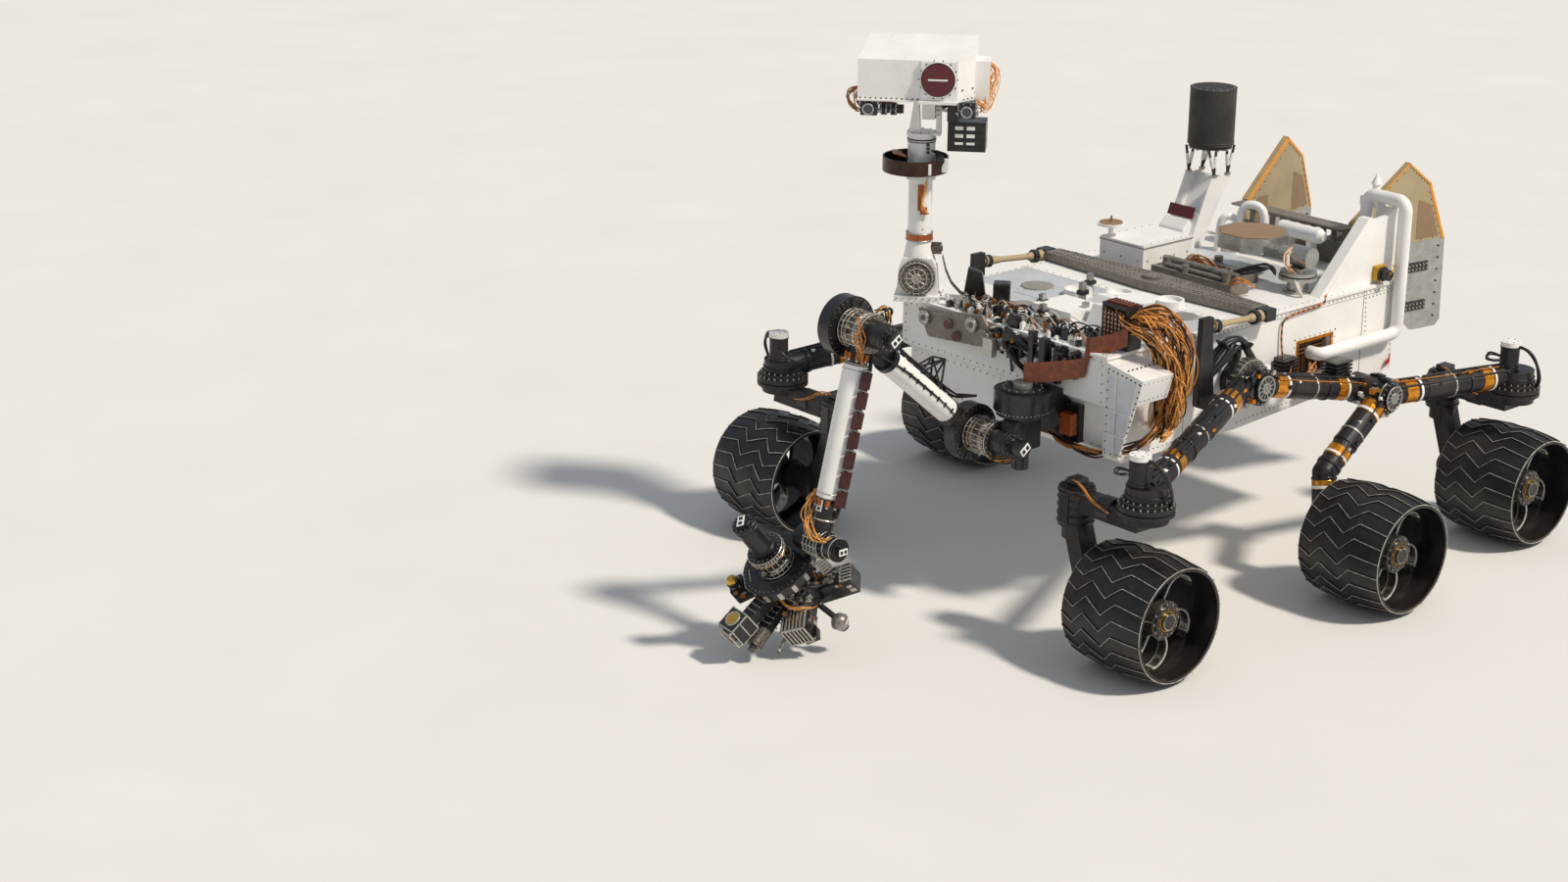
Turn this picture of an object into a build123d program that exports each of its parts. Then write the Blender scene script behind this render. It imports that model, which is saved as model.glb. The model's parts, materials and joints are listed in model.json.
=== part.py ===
from build123d import *
import os
from math import atan2, cos, degrees, radians, sin

os.makedirs("parts", exist_ok=True)

# Lengths in millimetres. While the pieces are built, x = 0 is the middle axle, +X is
# forward, +Y is the left side and z = 0 is the ground. Each file is then moved back by
# origin_ahead, which puts the origin under the centre of the whole rover.
origin_ahead = 487.8

# Wheels
wheel_radius = 250.0
crown_drop = 19.0
wheel_edge_radius = wheel_radius - crown_drop
wheel_width = 400.0
wheel_skin = 4.0
crown_bands = 8
rim_depth = 13.0
rim_radius = wheel_edge_radius - rim_depth
spoke_count = 6
spoke_thickness = 5.0
spoke_width = 38.0
spoke_y = 60.0
hub_radius = 78.0
front_axle_x = 1265.0
rear_axle_x = -1100.0

# Body
body_half_width = 588.0
body_rear_x = -850.0
body_front_x = 1000.0
deck_z = 1100.0
deck_thickness = 12.0
deck_overhang = 8.0
body_bottom_front_z = 640.0
body_bottom_rear_z = 700.0
seat = 0.3

# Steering
steer_rise = 175.0
steer_flange_z = 2 * wheel_radius + steer_rise
steer_gap = 5.0
fork_reach = 360.0

# Suspension
rocker_out = 102.0
rocker_pivot = (227.0, body_half_width + rocker_out, 871.0)
bogie_out = 160.0
bogie_pivot = (-400.0, rocker_pivot[1] + bogie_out, 745.0)
outer_wheel_out = 374.0
outer_wheel_y = rocker_pivot[1] + outer_wheel_out
middle_wheel_out = 133.0
middle_wheel_y = outer_wheel_y + middle_wheel_out
leg_radius = 50.0
lever_x = 490.0
lever_top_z = 1195.0
differential_x = 80.0
differential_z = 1140.0

# Mast
mast_x = 980.0
mast_y = -520.0
mast_radius = 50.0
mast_base_top_z = 1296.0
mast_top_z = 1650.0
neck_gap = 5.0
tilt_z = 1915.0
head_bottom_z = 1980.0
head_front = 140.0
head_back = -190.0
head_right = -258.0
head_left = 154.0
head_wide_left = 215.0
head_front_top_z = 2150.0
head_back_top_z = 2201.0
head_heading = 41.6

# Arm
arm_azimuth = (1150.0, 280.0)
arm_mount_z = 850.0
shoulder = (1262.0, 735.0)
elbow = (1950.0, 1308.0)
wrist = (2159.0, 495.0)
upper_arm_y = 100.0
upper_disc_width = 60.0
arm_disc_radius = 119.0
joint_gap = 5.0
gear_radius = 75.0
gear_width = 120.0
arm_motor_radius = 52.0
arm_tube_radius = 50.0
forearm_y = 198.0

# Turret
turret_centre = (2218.0, 30.0, 361.0)
turret_tilt = 50.0
turret_radius = 150.0
turret_core_radius = 95.0

# Dish antenna
dish_base = (-352.0, 440.0)
dish_centre = (-430.0, 112.0)
dish_radius = 165.0
dish_z = 1262.0

# Rear
plate_y = 300.0
plate_splay = 8.0
power_centre = (-1190.0, 880.0)
power_tilt = 6.0
power_length = 540.0
pipe_radius = 28.0
pipe_x = -826.0
fin_reach = 245.0


def block(x0, x1, y0, y1, z0, z1):
    centre = Pos((x0 + x1) / 2, (y0 + y1) / 2, (z0 + z1) / 2)
    return centre * Box(x1 - x0, y1 - y0, z1 - z0)


def rod(start, end, radius, end_radius=None):
    run = Vector(*end) - Vector(*start)
    low = (Align.CENTER, Align.CENTER, Align.MIN)
    if end_radius is None:
        shape = Cylinder(radius, run.length, align=low)
    else:
        shape = Cone(radius, end_radius, run.length, align=low)
    return Plane(origin=start, z_dir=run) * shape


def away_from(start, run, share):
    return tuple(Vector(*start) + run * share)


def upright(x, y, z0, z1, radius):
    return rod((x, y, z0), (x, y, z1), radius)


def across(x, z, y0, y1, radius):
    return rod((x, y0, z), (x, y1, z), radius)


def side_plate(outline, y0, y1):
    plane = Plane(origin=(0, y0, 0), x_dir=(1, 0, 0), z_dir=(0, -1, 0))
    return extrude(plane * make_face(Polyline(*outline, close=True)), amount=y0 - y1)


def front_plate(outline, x0, x1):
    plane = Plane(origin=(x0, 0, 0), x_dir=(0, 1, 0), z_dir=(1, 0, 0))
    return extrude(plane * make_face(Polyline(*outline, close=True)), amount=x1 - x0)


def flat_plate(outline, z0, z1):
    plane = Plane(origin=(0, 0, z0), x_dir=(1, 0, 0), z_dir=(0, 0, 1))
    return extrude(plane * make_face(Polyline(*outline, close=True)), amount=z1 - z0)


def tube(points, bends, radius):
    path = FilletPolyline(*points, radius=bends)
    profile = Plane(origin=path @ 0, z_dir=path % 0) * Circle(radius)
    return sweep(profile, path=path)


def mirrored(shape):
    return mirror(shape, about=Plane.XZ)


def joined(pieces):
    whole = pieces[0]
    for piece in pieces[1:]:
        whole = whole + piece
    return whole


def save(name, pieces):
    shape = Compound(children=[s for p in pieces for s in p.solids()])
    export_step(Pos(-origin_ahead, 0, 0) * shape, "parts/" + name + ".step")


# Wheel skin with a crowned tread in straight bands, centred on the origin, axle along Y
def crown_radius(y):
    drop = wheel_radius - wheel_edge_radius
    return wheel_radius - drop * (2 * y / wheel_width) ** 2


def crowned_band(inside, outside):
    step = wheel_width / crown_bands
    stops = [-wheel_width / 2 + step * k for k in range(crown_bands + 1)]
    outer = [(crown_radius(y) + outside, y) for y in stops]
    inner = [(crown_radius(y) + inside, y) for y in reversed(stops)]
    return revolve(make_face(Polyline(*outer, *inner, close=True)), Axis.Y)


def ring(y0, y1, inner, outer):
    return across(0, 0, y0, y1, outer) - across(0, 0, y0 - 1, y1 + 1, inner)


def make_wheel_skin():
    half = wheel_width / 2
    edge = wheel_edge_radius
    skin = crowned_band(-wheel_skin, 0)
    skin = skin + ring(half - 4, half, edge - 14, edge - 1)
    skin = skin + ring(-half, -half + 4, edge - 14, edge - 1)
    skin = skin + ring(spoke_y - 22, spoke_y - 18, rim_radius, edge + 14)
    skin = skin + ring(spoke_y + 18, spoke_y + 22, rim_radius, edge + 14)
    skin = skin + ring(spoke_y - 22, spoke_y + 22, rim_radius, rim_radius + 5)
    return skin


def make_spokes():
    rim = rim_radius
    hub = joined([
        across(0, 0, 66, 128, hub_radius),
        across(0, 0, 128, 136, hub_radius - 16),
        across(0, 0, 136, 150, 34),
    ])
    bend_x = 120.0
    half = spoke_thickness / 2
    reach = rim - seat - half
    bend = (reach ** 2 - bend_x ** 2) / (2 * reach)
    contact = atan2(bend, bend_x)
    turned = 90.0 + degrees(contact)
    far = CenterArc((bend_x, bend), bend + half, -90, turned)
    near = CenterArc((bend_x, bend), bend - half, -90, turned)
    curve = make_face([far, near, Line(far @ 0, near @ 0), Line(far @ 1, near @ 1)])
    stem = make_face(Polyline(
        (hub_radius - 4, -half), (bend_x, -half), (bend_x, half), (hub_radius - 4, half),
        close=True))
    plane = Plane(origin=(0, spoke_y - 19, 0), x_dir=(1, 0, 0), z_dir=(0, -1, 0))
    one = extrude(plane * (curve + stem), amount=-spoke_width)
    turn = 360.0 / spoke_count
    spokes = [Rot(0, k * turn, 0) * one for k in range(spoke_count)]
    collar = across(0, 0, spoke_y - 19, 68, hub_radius) - across(0, 0, 30, 66, 68)
    feet = [
        Rot(0, k * turn - degrees(contact), 0)
        * block(rim - 6, rim - 1.9, spoke_y - 19, spoke_y + 19, -24, 24)
        for k in range(spoke_count)
    ]
    return joined([hub + collar] + spokes + feet)


wheel_skin_shape = make_wheel_skin()
spokes_shape = make_spokes()
wheel_table = [
    ("fl", front_axle_x, outer_wheel_y),
    ("fr", front_axle_x, -outer_wheel_y),
    ("ml", 0.0, middle_wheel_y),
    ("mr", 0.0, -middle_wheel_y),
    ("rl", rear_axle_x, outer_wheel_y),
    ("rr", rear_axle_x, -outer_wheel_y),
]
for corner, axle_x, axle_y in wheel_table:
    for part_name, shape in [("wheel_", wheel_skin_shape), ("spokes_", spokes_shape)]:
        sided = shape if axle_y > 0 else mirrored(shape)
        save(part_name + corner, [Pos(axle_x, axle_y, wheel_radius) * sided])


# Drive motor housing that the hub turns on, axle along Y, outer end at y = 61
def make_drive():
    return joined([
        across(0, 0, -262, -212, 84),
        across(0, 0, -212, -190, 70),
        across(0, 0, -190, 61, 56),
        across(0, 0, -60, -48, 66),
        across(0, 0, -330, -262, 46),
    ])


drive_shape = make_drive()


# Steering fork: flange under the actuator, arm inboard, elbow drum and leg down to the drive
def make_fork():
    top = steer_flange_z - steer_gap
    flange = upright(0, 0, top - 16, top, 112) + upright(0, 0, top - 46, top - 16, 90)
    arm = side_plate([(-52, top - 88), (52, top - 88), (42, top - 20), (-42, top - 20)],
                     -fork_reach, 0)
    drum = upright(0, -fork_reach, top - 160, top - 4, 72)
    cap = upright(0, -fork_reach, top - 4, top + 4, 54)
    foot_z = wheel_radius - 30
    leg = front_plate(
        [(-fork_reach - 30, top - 150), (-fork_reach + 48, top - 150), (-214, foot_z),
         (-290, foot_z)], -46, 46)
    knee = upright(0, -fork_reach + 6, top - 212, top - 160, 58)
    return joined([flange, arm, drum, cap, knee, leg, Pos(0, 0, wheel_radius) * drive_shape])


fork_shape = make_fork()
fork_table = [
    ("fl", front_axle_x, outer_wheel_y),
    ("fr", front_axle_x, -outer_wheel_y),
    ("rl", rear_axle_x, outer_wheel_y),
    ("rr", rear_axle_x, -outer_wheel_y),
]
for corner, axle_x, axle_y in fork_table:
    sided = fork_shape if axle_y > 0 else mirrored(fork_shape)
    save("steer_fork_" + corner, [Pos(axle_x, axle_y, 0) * sided])


# Steering actuator that ends a suspension leg
motor_ahead = 34.0
motor_inboard = 12.0
motor_top = 200.0


def make_actuator(axle_x, leg_from):
    x, y = axle_x, outer_wheel_y
    z = steer_flange_z
    flange = upright(x, y, z, z + 20, 112) + upright(x, y, z + 20, z + 38, 98)
    bowl = upright(x, y, z + 38, z + 92, 82)
    motor = upright(x + motor_ahead, y - motor_inboard, z + 60, z + motor_top, 41)
    tip = (x - 6, y - 10, z + 62)
    return joined([flange, bowl, motor, rod(leg_from, tip, leg_radius)])


def make_rocker():
    px, py, pz = rocker_pivot
    hub = across(px, pz, body_half_width + seat, py + 62, 78)
    cap = across(px, pz, py + 62, py + 84, 56)
    bend = (px + 60, py + 10, pz + 6)
    front = make_actuator(front_axle_x, bend)
    bx, by, bz = bogie_pivot
    rear = rod((px - 20, py + 6, pz - 6), (bx, by - 70, bz), leg_radius)
    end = across(bx, bz, by - 110, by - 20, 68)
    lever = side_plate([(lever_x - 55, 848), (lever_x + 45, 836), (lever_x + 34, lever_top_z),
                        (lever_x - 30, lever_top_z), (lever_x - 30, lever_top_z - 85)],
                       py - 48, py - 20)
    lug = block(lever_x - 50, lever_x + 40, py - 48, py + 84, 824, 868)
    knob = Pos(*bend) * Sphere(leg_radius)
    return joined([hub, cap, front, knob, rear, end, lever, lug])


def make_bogie():
    bx, by, bz = bogie_pivot
    hub = across(bx, bz, by - 20 + seat, by + 90, 70) + across(bx, bz, by + 90, by + 104, 48)
    knee = (-40.0, by + 42, 480.0)
    front = rod((bx, by + 38, bz), knee, leg_radius)
    bend = Pos(*knee) * Sphere(leg_radius)
    foot = (0.0, middle_wheel_y - 250, wheel_radius + 10)
    shin = rod(knee, foot, leg_radius, leg_radius - 8)
    rear = make_actuator(rear_axle_x, (bx, by + 38, bz))
    drive = Pos(0, middle_wheel_y, wheel_radius) * drive_shape
    return joined([hub, front, bend, shin, rear, drive])


rocker_shape = make_rocker()
bogie_shape = make_bogie()
save("rocker_left", [rocker_shape])
save("rocker_right", [mirrored(rocker_shape)])
save("bogie_left", [bogie_shape])
save("bogie_right", [mirrored(bogie_shape)])


# White caps on the steering motors
def make_motor_caps():
    caps = []
    for axle_x in (front_axle_x, rear_axle_x):
        for side in (1, -1):
            low = steer_flange_z + motor_top + seat
            y = side * (outer_wheel_y - motor_inboard)
            caps.append(upright(axle_x + motor_ahead, y, low, low + 20, 43))
    return caps


save("motor_caps", make_motor_caps())


# Differential beam across the deck, its pivot and its end links
def make_differential():
    y_end = body_half_width + 12
    x = differential_x
    outline = [(x - 45, -y_end), (x + 45, -y_end), (x + 82, 0), (x + 45, y_end),
               (x - 45, y_end), (x - 82, 0)]
    beam = flat_plate(outline, differential_z - 22, differential_z + 14)
    low = deck_z + deck_thickness + seat
    pivot = upright(x, 0, low, differential_z + 14, 60)
    crown = upright(x, 0, differential_z + 14, differential_z + 26, 46)
    return joined([beam, pivot, crown])


def make_links():
    py = rocker_pivot[1]
    z = differential_z - 12
    y = body_half_width + 40
    lug = block(differential_x - 30, differential_x + 30, body_half_width + 12 + seat, y + 16,
                z - 14, z + 14)
    end = (lever_x - 20, py - 34, lever_top_z - 40)
    start = (differential_x + 20, y, z)
    run = Vector(*end) - Vector(*start)
    shaft = rod(start, end, 13)
    boot_rear = rod(away_from(start, run, 0.05), away_from(start, run, 0.28), 27, 15)
    boot_front = rod(away_from(start, run, 0.72), away_from(start, run, 0.95), 15, 25)
    stop = block(lever_x - 30 - seat, lever_x + 60, py - 90, py + 30, z - 60, lever_top_z + 40)
    link = joined([lug, shaft, boot_rear, boot_front]) - stop
    return [link, mirrored(link)]


save("differential_beam", [make_differential()])
save("differential_links", make_links())


# Body: one closed white box with side windows, deck plate on top, pan below
def make_chassis():
    outline = [
        (body_rear_x, body_bottom_rear_z), (body_rear_x, deck_z), (body_front_x, deck_z),
        (body_front_x, 905), (body_front_x - 55, 870), (body_front_x - 55, body_bottom_front_z + 60),
        (body_front_x - 120, body_bottom_front_z), (200, body_bottom_front_z),
    ]
    shape = side_plate(outline, -body_half_width, body_half_width)
    for side in (1, -1):
        y = side * body_half_width
        shape = shape - block(-412, -198, y - 45, y + 45, 782, 938)
        shape = shape - block(52, 140, y - 30, y + 30, 800, 900)
    return shape - pad_holes(deck_z - 30, deck_z + 1)


# Four holes for an M6 screwed foot on the free front left of the deck
pad_centre = (650.0, 380.0)
pad_spacing = (160.0, 120.0)
screw_radius = 3.3


def pad_holes(z0, z1):
    holes = []
    for sx in (-0.5, 0.5):
        for sy in (-0.5, 0.5):
            x = pad_centre[0] + sx * pad_spacing[0]
            y = pad_centre[1] + sy * pad_spacing[1]
            holes.append(upright(x, y, z0, z1, screw_radius))
    return holes


def make_deck():
    side = body_half_width + deck_overhang
    plate = block(body_rear_x - deck_overhang, body_front_x + deck_overhang, -side, side,
                  deck_z + seat, deck_z + deck_thickness)
    return plate - pad_holes(deck_z, deck_z + deck_thickness + 1)


save("chassis_box", [make_chassis()])
save("top_deck", [make_deck()])


# Rear webs on the left of the deck, that carry the tall coolant pipe
def make_webs():
    z0 = deck_z + deck_thickness + seat
    y = body_half_width - 34
    web = side_plate([(-390, z0), (-660, 1392), (-780, 1400), (-858, 1440), (-858, z0)],
                     y - 12, y + 12)
    rail = side_plate([(-372, z0), (-336, z0), (-636, 1410), (-668, 1410)], y - 34, y + 20)
    rear = block(-860, -856, y - 110, y + 20, z0, 1420)
    shelf = block(-920, -858, y - 200, y - 60, 1428, 1440) + block(
        -870, -856, y - 200, y - 60, 1400, 1440)
    return [joined([web, rail, rear, shelf])]


save("rear_webs", make_webs())


# Finned power source behind the body, made upright and then laid back
def make_power_source():
    half = power_length / 2
    body = rod((0, 0, -half), (0, 0, half), 135)
    fins = [Rot(0, 0, 45 * k) * block(130, fin_reach, -5, 5, -half + 20, half - 20)
            for k in range(8)]
    caps = rod((0, 0, half), (0, 0, half + 22), 110) + rod((0, 0, -half - 22), (0, 0, -half), 110)
    whole = joined([body] + fins + [caps])
    placed = Pos(power_centre[0], 0, power_centre[1]) * Rot(0, -90 + power_tilt, 0) * whole
    front = body_rear_x - seat
    mount = front_plate([(-170, 760), (170, 760), (110, 1010), (-110, 1010)], front - 14, front)
    ties = [rod((front - 7, y, z), (-930, 0.7 * y, z), 14) for y in (-120, 120) for z in (810, 940)]
    return joined([placed, mount] + ties)


save("power_source", [make_power_source()])


# Slotted screen across the rear of the deck, over the power source
def make_rear_screen():
    low = deck_z + deck_thickness + seat
    board = block(-846, -834, -290, 330, low, 1292)
    slots = [block(-850, -830, y, y + 34, 1216, 1262) for y in range(-272, 296, 58)]
    shelf = block(-846, -760, -290, 330, 1292, 1300)
    for slot in slots:
        board = board - slot
    return board + shelf


# Heat exchangers on both sides of the power source: tan wing above, grey panel below,
# both splayed outward to the rear
wing_bottom_z = 1166.0


def splayed(shape):
    return Pos(body_rear_x, plate_y, 0) * Rot(0, 0, -plate_splay) * Pos(
        -body_rear_x, -plate_y, 0) * shape


def make_exchanger():
    outline = [(-868, 1300), (-1195, 1540), (-1340, 1430), (-1450, wing_bottom_z),
               (-868, wing_bottom_z)]
    return splayed(side_plate(outline, plate_y - 12, plate_y + 12))


def make_exchanger_panel():
    top = wing_bottom_z - seat
    outline = [(-1000, top), (-1455, top), (-1467, 778), (-1440, 750), (-1290, 750),
               (-1260, 778), (-1000, 810)]
    panel = splayed(side_plate(outline, plate_y - 10, plate_y + 10))
    stay_y = plate_y + 19
    stays = [rod((body_rear_x - seat, stay_y, z), (-1012, stay_y, z), 9) for z in (850, 1060)]
    return joined([panel] + stays)


exchanger_shape = make_exchanger()
panel_shape = make_exchanger_panel()
save("heat_exchangers", [exchanger_shape, mirrored(exchanger_shape)])
save("exchanger_panels", [panel_shape, mirrored(panel_shape)])


# Coolant pipes: from each side window back along the side, then up and over the deck on the
# left, and round into the rear of the body on the right
def make_pipes():
    y = body_half_width + deck_overhang + pipe_radius + seat
    top = 1466.0
    low = deck_z + deck_thickness + seat
    left = tube([(-300, y - 60, 880), (-300, y, 880), (pipe_x, y, 880), (pipe_x, y, top),
                 (pipe_x, y - 208, top), (pipe_x, y - 208, low)], [28, 45, 45, 45],
                pipe_radius)
    right = tube([(-300, 60 - y, 880), (-300, -y, 880), (-940, -y, 880), (-940, -450, 880),
                  (body_rear_x - seat, -450, 880)], [28, 45, 45], pipe_radius)
    cap = upright(pipe_x - 60, y - 210, 1440 + seat, 1500, 17)
    point = rod((pipe_x - 60, y - 210, 1500), (pipe_x - 60, y - 210, 1545), 24, 3)
    return [left, right, joined([cap, point])]


save("coolant_pipes", make_pipes())


# Mast head and base parts are made facing +X about the mast axis and then turned
def on_mast(shape):
    return Pos(mast_x, mast_y, 0) * Rot(0, 0, head_heading) * shape


# Mast: base housing on the deck corner, deploy gear on its face, tube above
def make_mast_base():
    z0 = deck_z + deck_thickness + seat
    foot = block(-86, 86, -96, 96, z0, z0 + 26)
    housing = front_plate([(-88, z0 + 26), (88, z0 + 26), (78, mast_base_top_z - 40),
                           (60, mast_base_top_z), (-60, mast_base_top_z),
                           (-78, mast_base_top_z - 40)], -66, 60)
    return on_mast(joined([foot, housing]))


def make_mast_gear():
    face = 60 + seat
    z = 1218.0
    disc = rod((face, 0, z), (face + 26, 0, z), 76)
    hub = rod((face + 26, 0, z), (face + 36, 0, z), 58)
    return on_mast(joined([disc, hub]))


def make_mast_tube():
    low = mast_base_top_z + seat
    foot = rod((0, 0, low), (0, 0, 1372), 64, mast_radius)
    tube_body = upright(0, 0, 1372, mast_top_z, mast_radius)
    band = upright(0, 0, 1372, 1394, mast_radius + 5)
    lower_ring = upright(0, 0, mast_top_z - 22, mast_top_z, mast_radius + 12)
    return on_mast(joined([foot, tube_body, band, lower_ring]))


save("mast_base", [make_mast_base()])
save("mast_gear", [make_mast_gear()])
save("mast_tube", [make_mast_tube()])


# Mast neck and head
ribbon_radius = 138.0
ribbon_high_z = mast_top_z + 74.0


def make_neck():
    z0 = mast_top_z + neck_gap
    drum = upright(0, 0, z0, z0 + 160, 58)
    collar = upright(0, 0, z0 + 160, z0 + 172, 62)
    low = tilt_z - 92
    left = front_plate([(-54, low), (-4, low), (-14, tilt_z + 40), (-34, tilt_z + 40)], -30, 30)
    right = front_plate([(60, low), (80, low), (80, tilt_z + 26), (60, tilt_z + 26)], -26, 26)
    floor = block(-34, 34, -60, 80, low - 6, low + 6)
    return on_mast(joined([drum, collar, floor, left, right]))


def make_ribbon():
    z0 = mast_top_z + neck_gap + 8
    centre = Pos(0, -24, 0)
    hoop = centre * (upright(0, 0, z0, ribbon_high_z, ribbon_radius)
                     - upright(0, 0, z0 - 1, ribbon_high_z + 1, ribbon_radius - 7))
    floor = centre * upright(0, 0, z0, z0 + 5, ribbon_radius - 6) - upright(
        0, 0, z0 - 5, z0 + 10, 58 + seat)
    return on_mast(joined([hoop, floor]))


def make_head():
    low = head_bottom_z
    plan = [(head_front, head_right), (head_front, head_left), (head_front - 80, head_wide_left),
            (head_back, head_wide_left), (head_back, head_right + 18)]
    shell = flat_plate(plan, low, head_back_top_z + 20)
    slope = side_plate([(head_front + 20, head_front_top_z - 3), (head_front, head_front_top_z),
                        (head_back, head_back_top_z), (head_back - 20, head_back_top_z + 3),
                        (head_back - 20, head_back_top_z + 60),
                        (head_front + 20, head_back_top_z + 60)],
                       head_right - 20, head_wide_left + 80)
    pod = block(-110, 10, head_wide_left - 5, head_wide_left + 58, low - 16, low + 150)
    cover_seat = block(head_front - 5, head_front + 14, 2, 150, low + 6, low + 168)
    barrel = across(0, tilt_z, 1, 55, 36)
    saddle = block(-34, 34, 1, 55, tilt_z, low + 6)
    return on_mast(joined([shell - slope, pod, cover_seat, barrel, saddle]))


def make_head_optics():
    low = head_bottom_z - seat
    cover = rod((head_front + 14 + seat, 74, head_bottom_z + 97),
                (head_front + 26, 74, head_bottom_z + 97), 70)
    eyes = []
    for y in (-212, 193):
        body = block(62, 128, y - 34, y + 34, low - 66, low)
        lens = rod((128, y, low - 36), (150, y, low - 36), 24)
        eyes.append(joined([body, lens]))
    dark_box = block(-20, 70, 108, 152, low - 92, low) + block(
        -40, 74, 112, 270, low - 216, low - 92)
    return [on_mast(part) for part in [cover, dark_box] + eyes]


def make_head_actuator():
    z = tilt_z + 8
    rings = joined([
        across(20, z, -176, -76, 19),
        across(20, z, -168, -148, 27),
        across(20, z, -128, -108, 27),
    ])
    hanger = block(4, 36, -146, -130, z, head_bottom_z - seat)
    return on_mast(joined([rings, hanger]))


save("mast_neck", [make_neck()])
save("head_box", [make_head()])
save("head_optics", make_head_optics() + [make_head_actuator()])
save("mast_ribbon", [make_ribbon()])


# Dish antenna: base, turning yoke, tilting dish
def make_dish_base():
    x, y = dish_base
    z0 = deck_z + deck_thickness + seat
    return joined([
        upright(x, y, z0, z0 + 10, 62),
        upright(x, y, z0 + 10, z0 + 56, 46),
        upright(x, y, z0 + 56, z0 + 72, 84),
    ])


def make_dish_yoke():
    x, y = dish_base
    z0 = deck_z + deck_thickness + seat + 72 + 5
    plate = upright(x, y, z0, z0 + 14, 78)
    post = block(x - 34, x + 34, y - 40, y + 34, z0 + 14, dish_z - 44)
    barrel = across(x - 20, dish_z, y - 52, y + 52, 46)
    return joined([plate, post, barrel])


def make_dish():
    x, y = dish_centre
    outline = [(x + dish_radius * cos(radians(a)), y + dish_radius * sin(radians(a)))
               for a in range(22, 382, 45)]
    body = flat_plate(outline, dish_z - 22, dish_z + 38)
    pin_x = dish_base[0] - 20
    spindle = across(pin_x, dish_z, dish_base[1] - 108, dish_base[1] - 57, 30)
    bracket = block(pin_x - 50, pin_x + 26, dish_base[1] - 190, dish_base[1] - 84, dish_z - 30,
                    dish_z + 10)
    return joined([body, spindle, bracket])


save("dish_base", [make_dish_base()])
save("dish_yoke", [make_dish_yoke()])
save("dish", [make_dish()])


# Cylinder antenna on an open tray bracket at the right rear of the deck
tray_right = -490.0
tray_left = -330.0
tray_top_z = 1420.0


def make_antenna_bracket():
    z0 = deck_z + deck_thickness + seat
    side = [(-530, z0), (-566, 1205), (-660, tray_top_z), (-790, tray_top_z), (-650, 1180),
            (-624, z0)]
    cheeks = side_plate(side, tray_right, tray_right + 8) + side_plate(side, tray_left - 8, tray_left)
    front = side_plate([(-530, z0), (-566, 1205), (-590, 1262), (-600, 1262), (-576, 1205),
                        (-540, z0)], tray_right, tray_left)
    floor = side_plate([(-590, 1254), (-600, 1262), (-648, 1262), (-738, tray_top_z - 12),
                        (-748, tray_top_z - 12), (-656, 1254)], tray_right, tray_left)
    back = block(-774, -740, tray_right, tray_left, tray_top_z - 20, tray_top_z - 12)
    return joined([cheeks, front, floor, back])


def make_antenna():
    x, y = -715.0, -395.0
    low = tray_top_z + seat
    can = upright(x, y, 1566, 1824, 105)
    base = upright(x, y, 1550, 1566, 97)
    struts = []
    for px in (-772.0, -680.0):
        for py, edge in ((tray_right + 4, -1), (tray_left - 4, 1)):
            foot = block(px - 12, px + 12, py - 4, py + 4, low, low + 12)
            for lean in (-1, 1):
                top = (x + 62 * (1 if px > x else -1) + 26 * lean, y + 66 * edge, 1556)
                struts.append(rod((px, py, low + 8), top, 6))
            struts.append(foot)
    return [joined([can, base] + struts)]


save("antenna_bracket", [make_antenna_bracket()])
save("cylinder_antenna", make_antenna())


# White instrument box on the deck with a small patch antenna on a post
def make_deck_box():
    z0 = deck_z + deck_thickness + seat
    box_shape = block(-350, -30, -417, -160, z0, 1240)
    post = upright(-62, -385, 1240, 1290, 12)
    disc = upright(-62, -385, 1290, 1300, 62)
    return joined([box_shape, post, disc])


def make_deck_mechanism():
    z0 = deck_z + deck_thickness + seat
    return [
        block(-160, -40, -120, 330, z0, 1165),
        block(-330, -190, 0, 240, z0, 1150),
        upright(-250, -60, z0, 1160, 40),
    ]


def make_deck_inlets():
    z0 = deck_z + deck_thickness + seat
    pieces = []
    for x, y in [(330, 40), (430, -110), (250, 250)]:
        pieces.append(upright(x, y, z0, z0 + 30, 60) - upright(x, y, z0 + 14, z0 + 40, 50))
    pieces.append(block(560, 760, -60, 160, z0, 1150))
    return pieces


save("deck_box", [make_deck_box()])
save("deck_mechanism", make_deck_mechanism() + [make_rear_screen()])
save("deck_inlets", make_deck_inlets())


# Front: hazard camera plate with lenses, ribbed gusset, connector box
camera_plate = [(-460.0, 1088.0), (-80.0, 1138.0), (20.0, 1012.0), (-396.0, 978.0)]
camera_table = [
    (-412.0, 1058.0, 30.0),
    (-270.0, 1060.0, 22.0),
    (-222.0, 1018.0, 22.0),
    (-129.0, 1090.0, 30.0),
    (-64.0, 1046.0, 36.0),
]


def make_camera_plate():
    x = body_front_x + deck_overhang + seat
    plate = front_plate(camera_plate, x + 12, x + 26)
    stands = block(body_front_x + seat, x + 14, -380, -20, 1000, 1080)
    pods = [rod((x + 26, y, z), (x + 40, y, z), radius) for y, z, radius in camera_table]
    side = block(x + 26, x + 52, -60, 6, 1020, 1060)
    return joined([plate, stands, side] + pods)


def make_gusset():
    x = body_front_x
    y = body_half_width + seat
    top_y = body_half_width + 195
    wing = front_plate([(y, 1090), (top_y, 1056), (top_y - 30, 948), (y, 948)], x - 180, x)
    rim = front_plate([(y, 1090), (top_y, 1056), (top_y - 110, 711), (y, 700)], x - 12, x)
    ribs = [block(x - 2, x + 8, y, top_y - 84 * (1056 - z) / 345 - 12, z - 3, z + 3)
            for z in (800, 900)]
    ribs.append(block(x - 2, x + 8, y + 56, y + 62, 706, 1050))
    return [joined([wing, rim] + ribs)]


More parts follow.
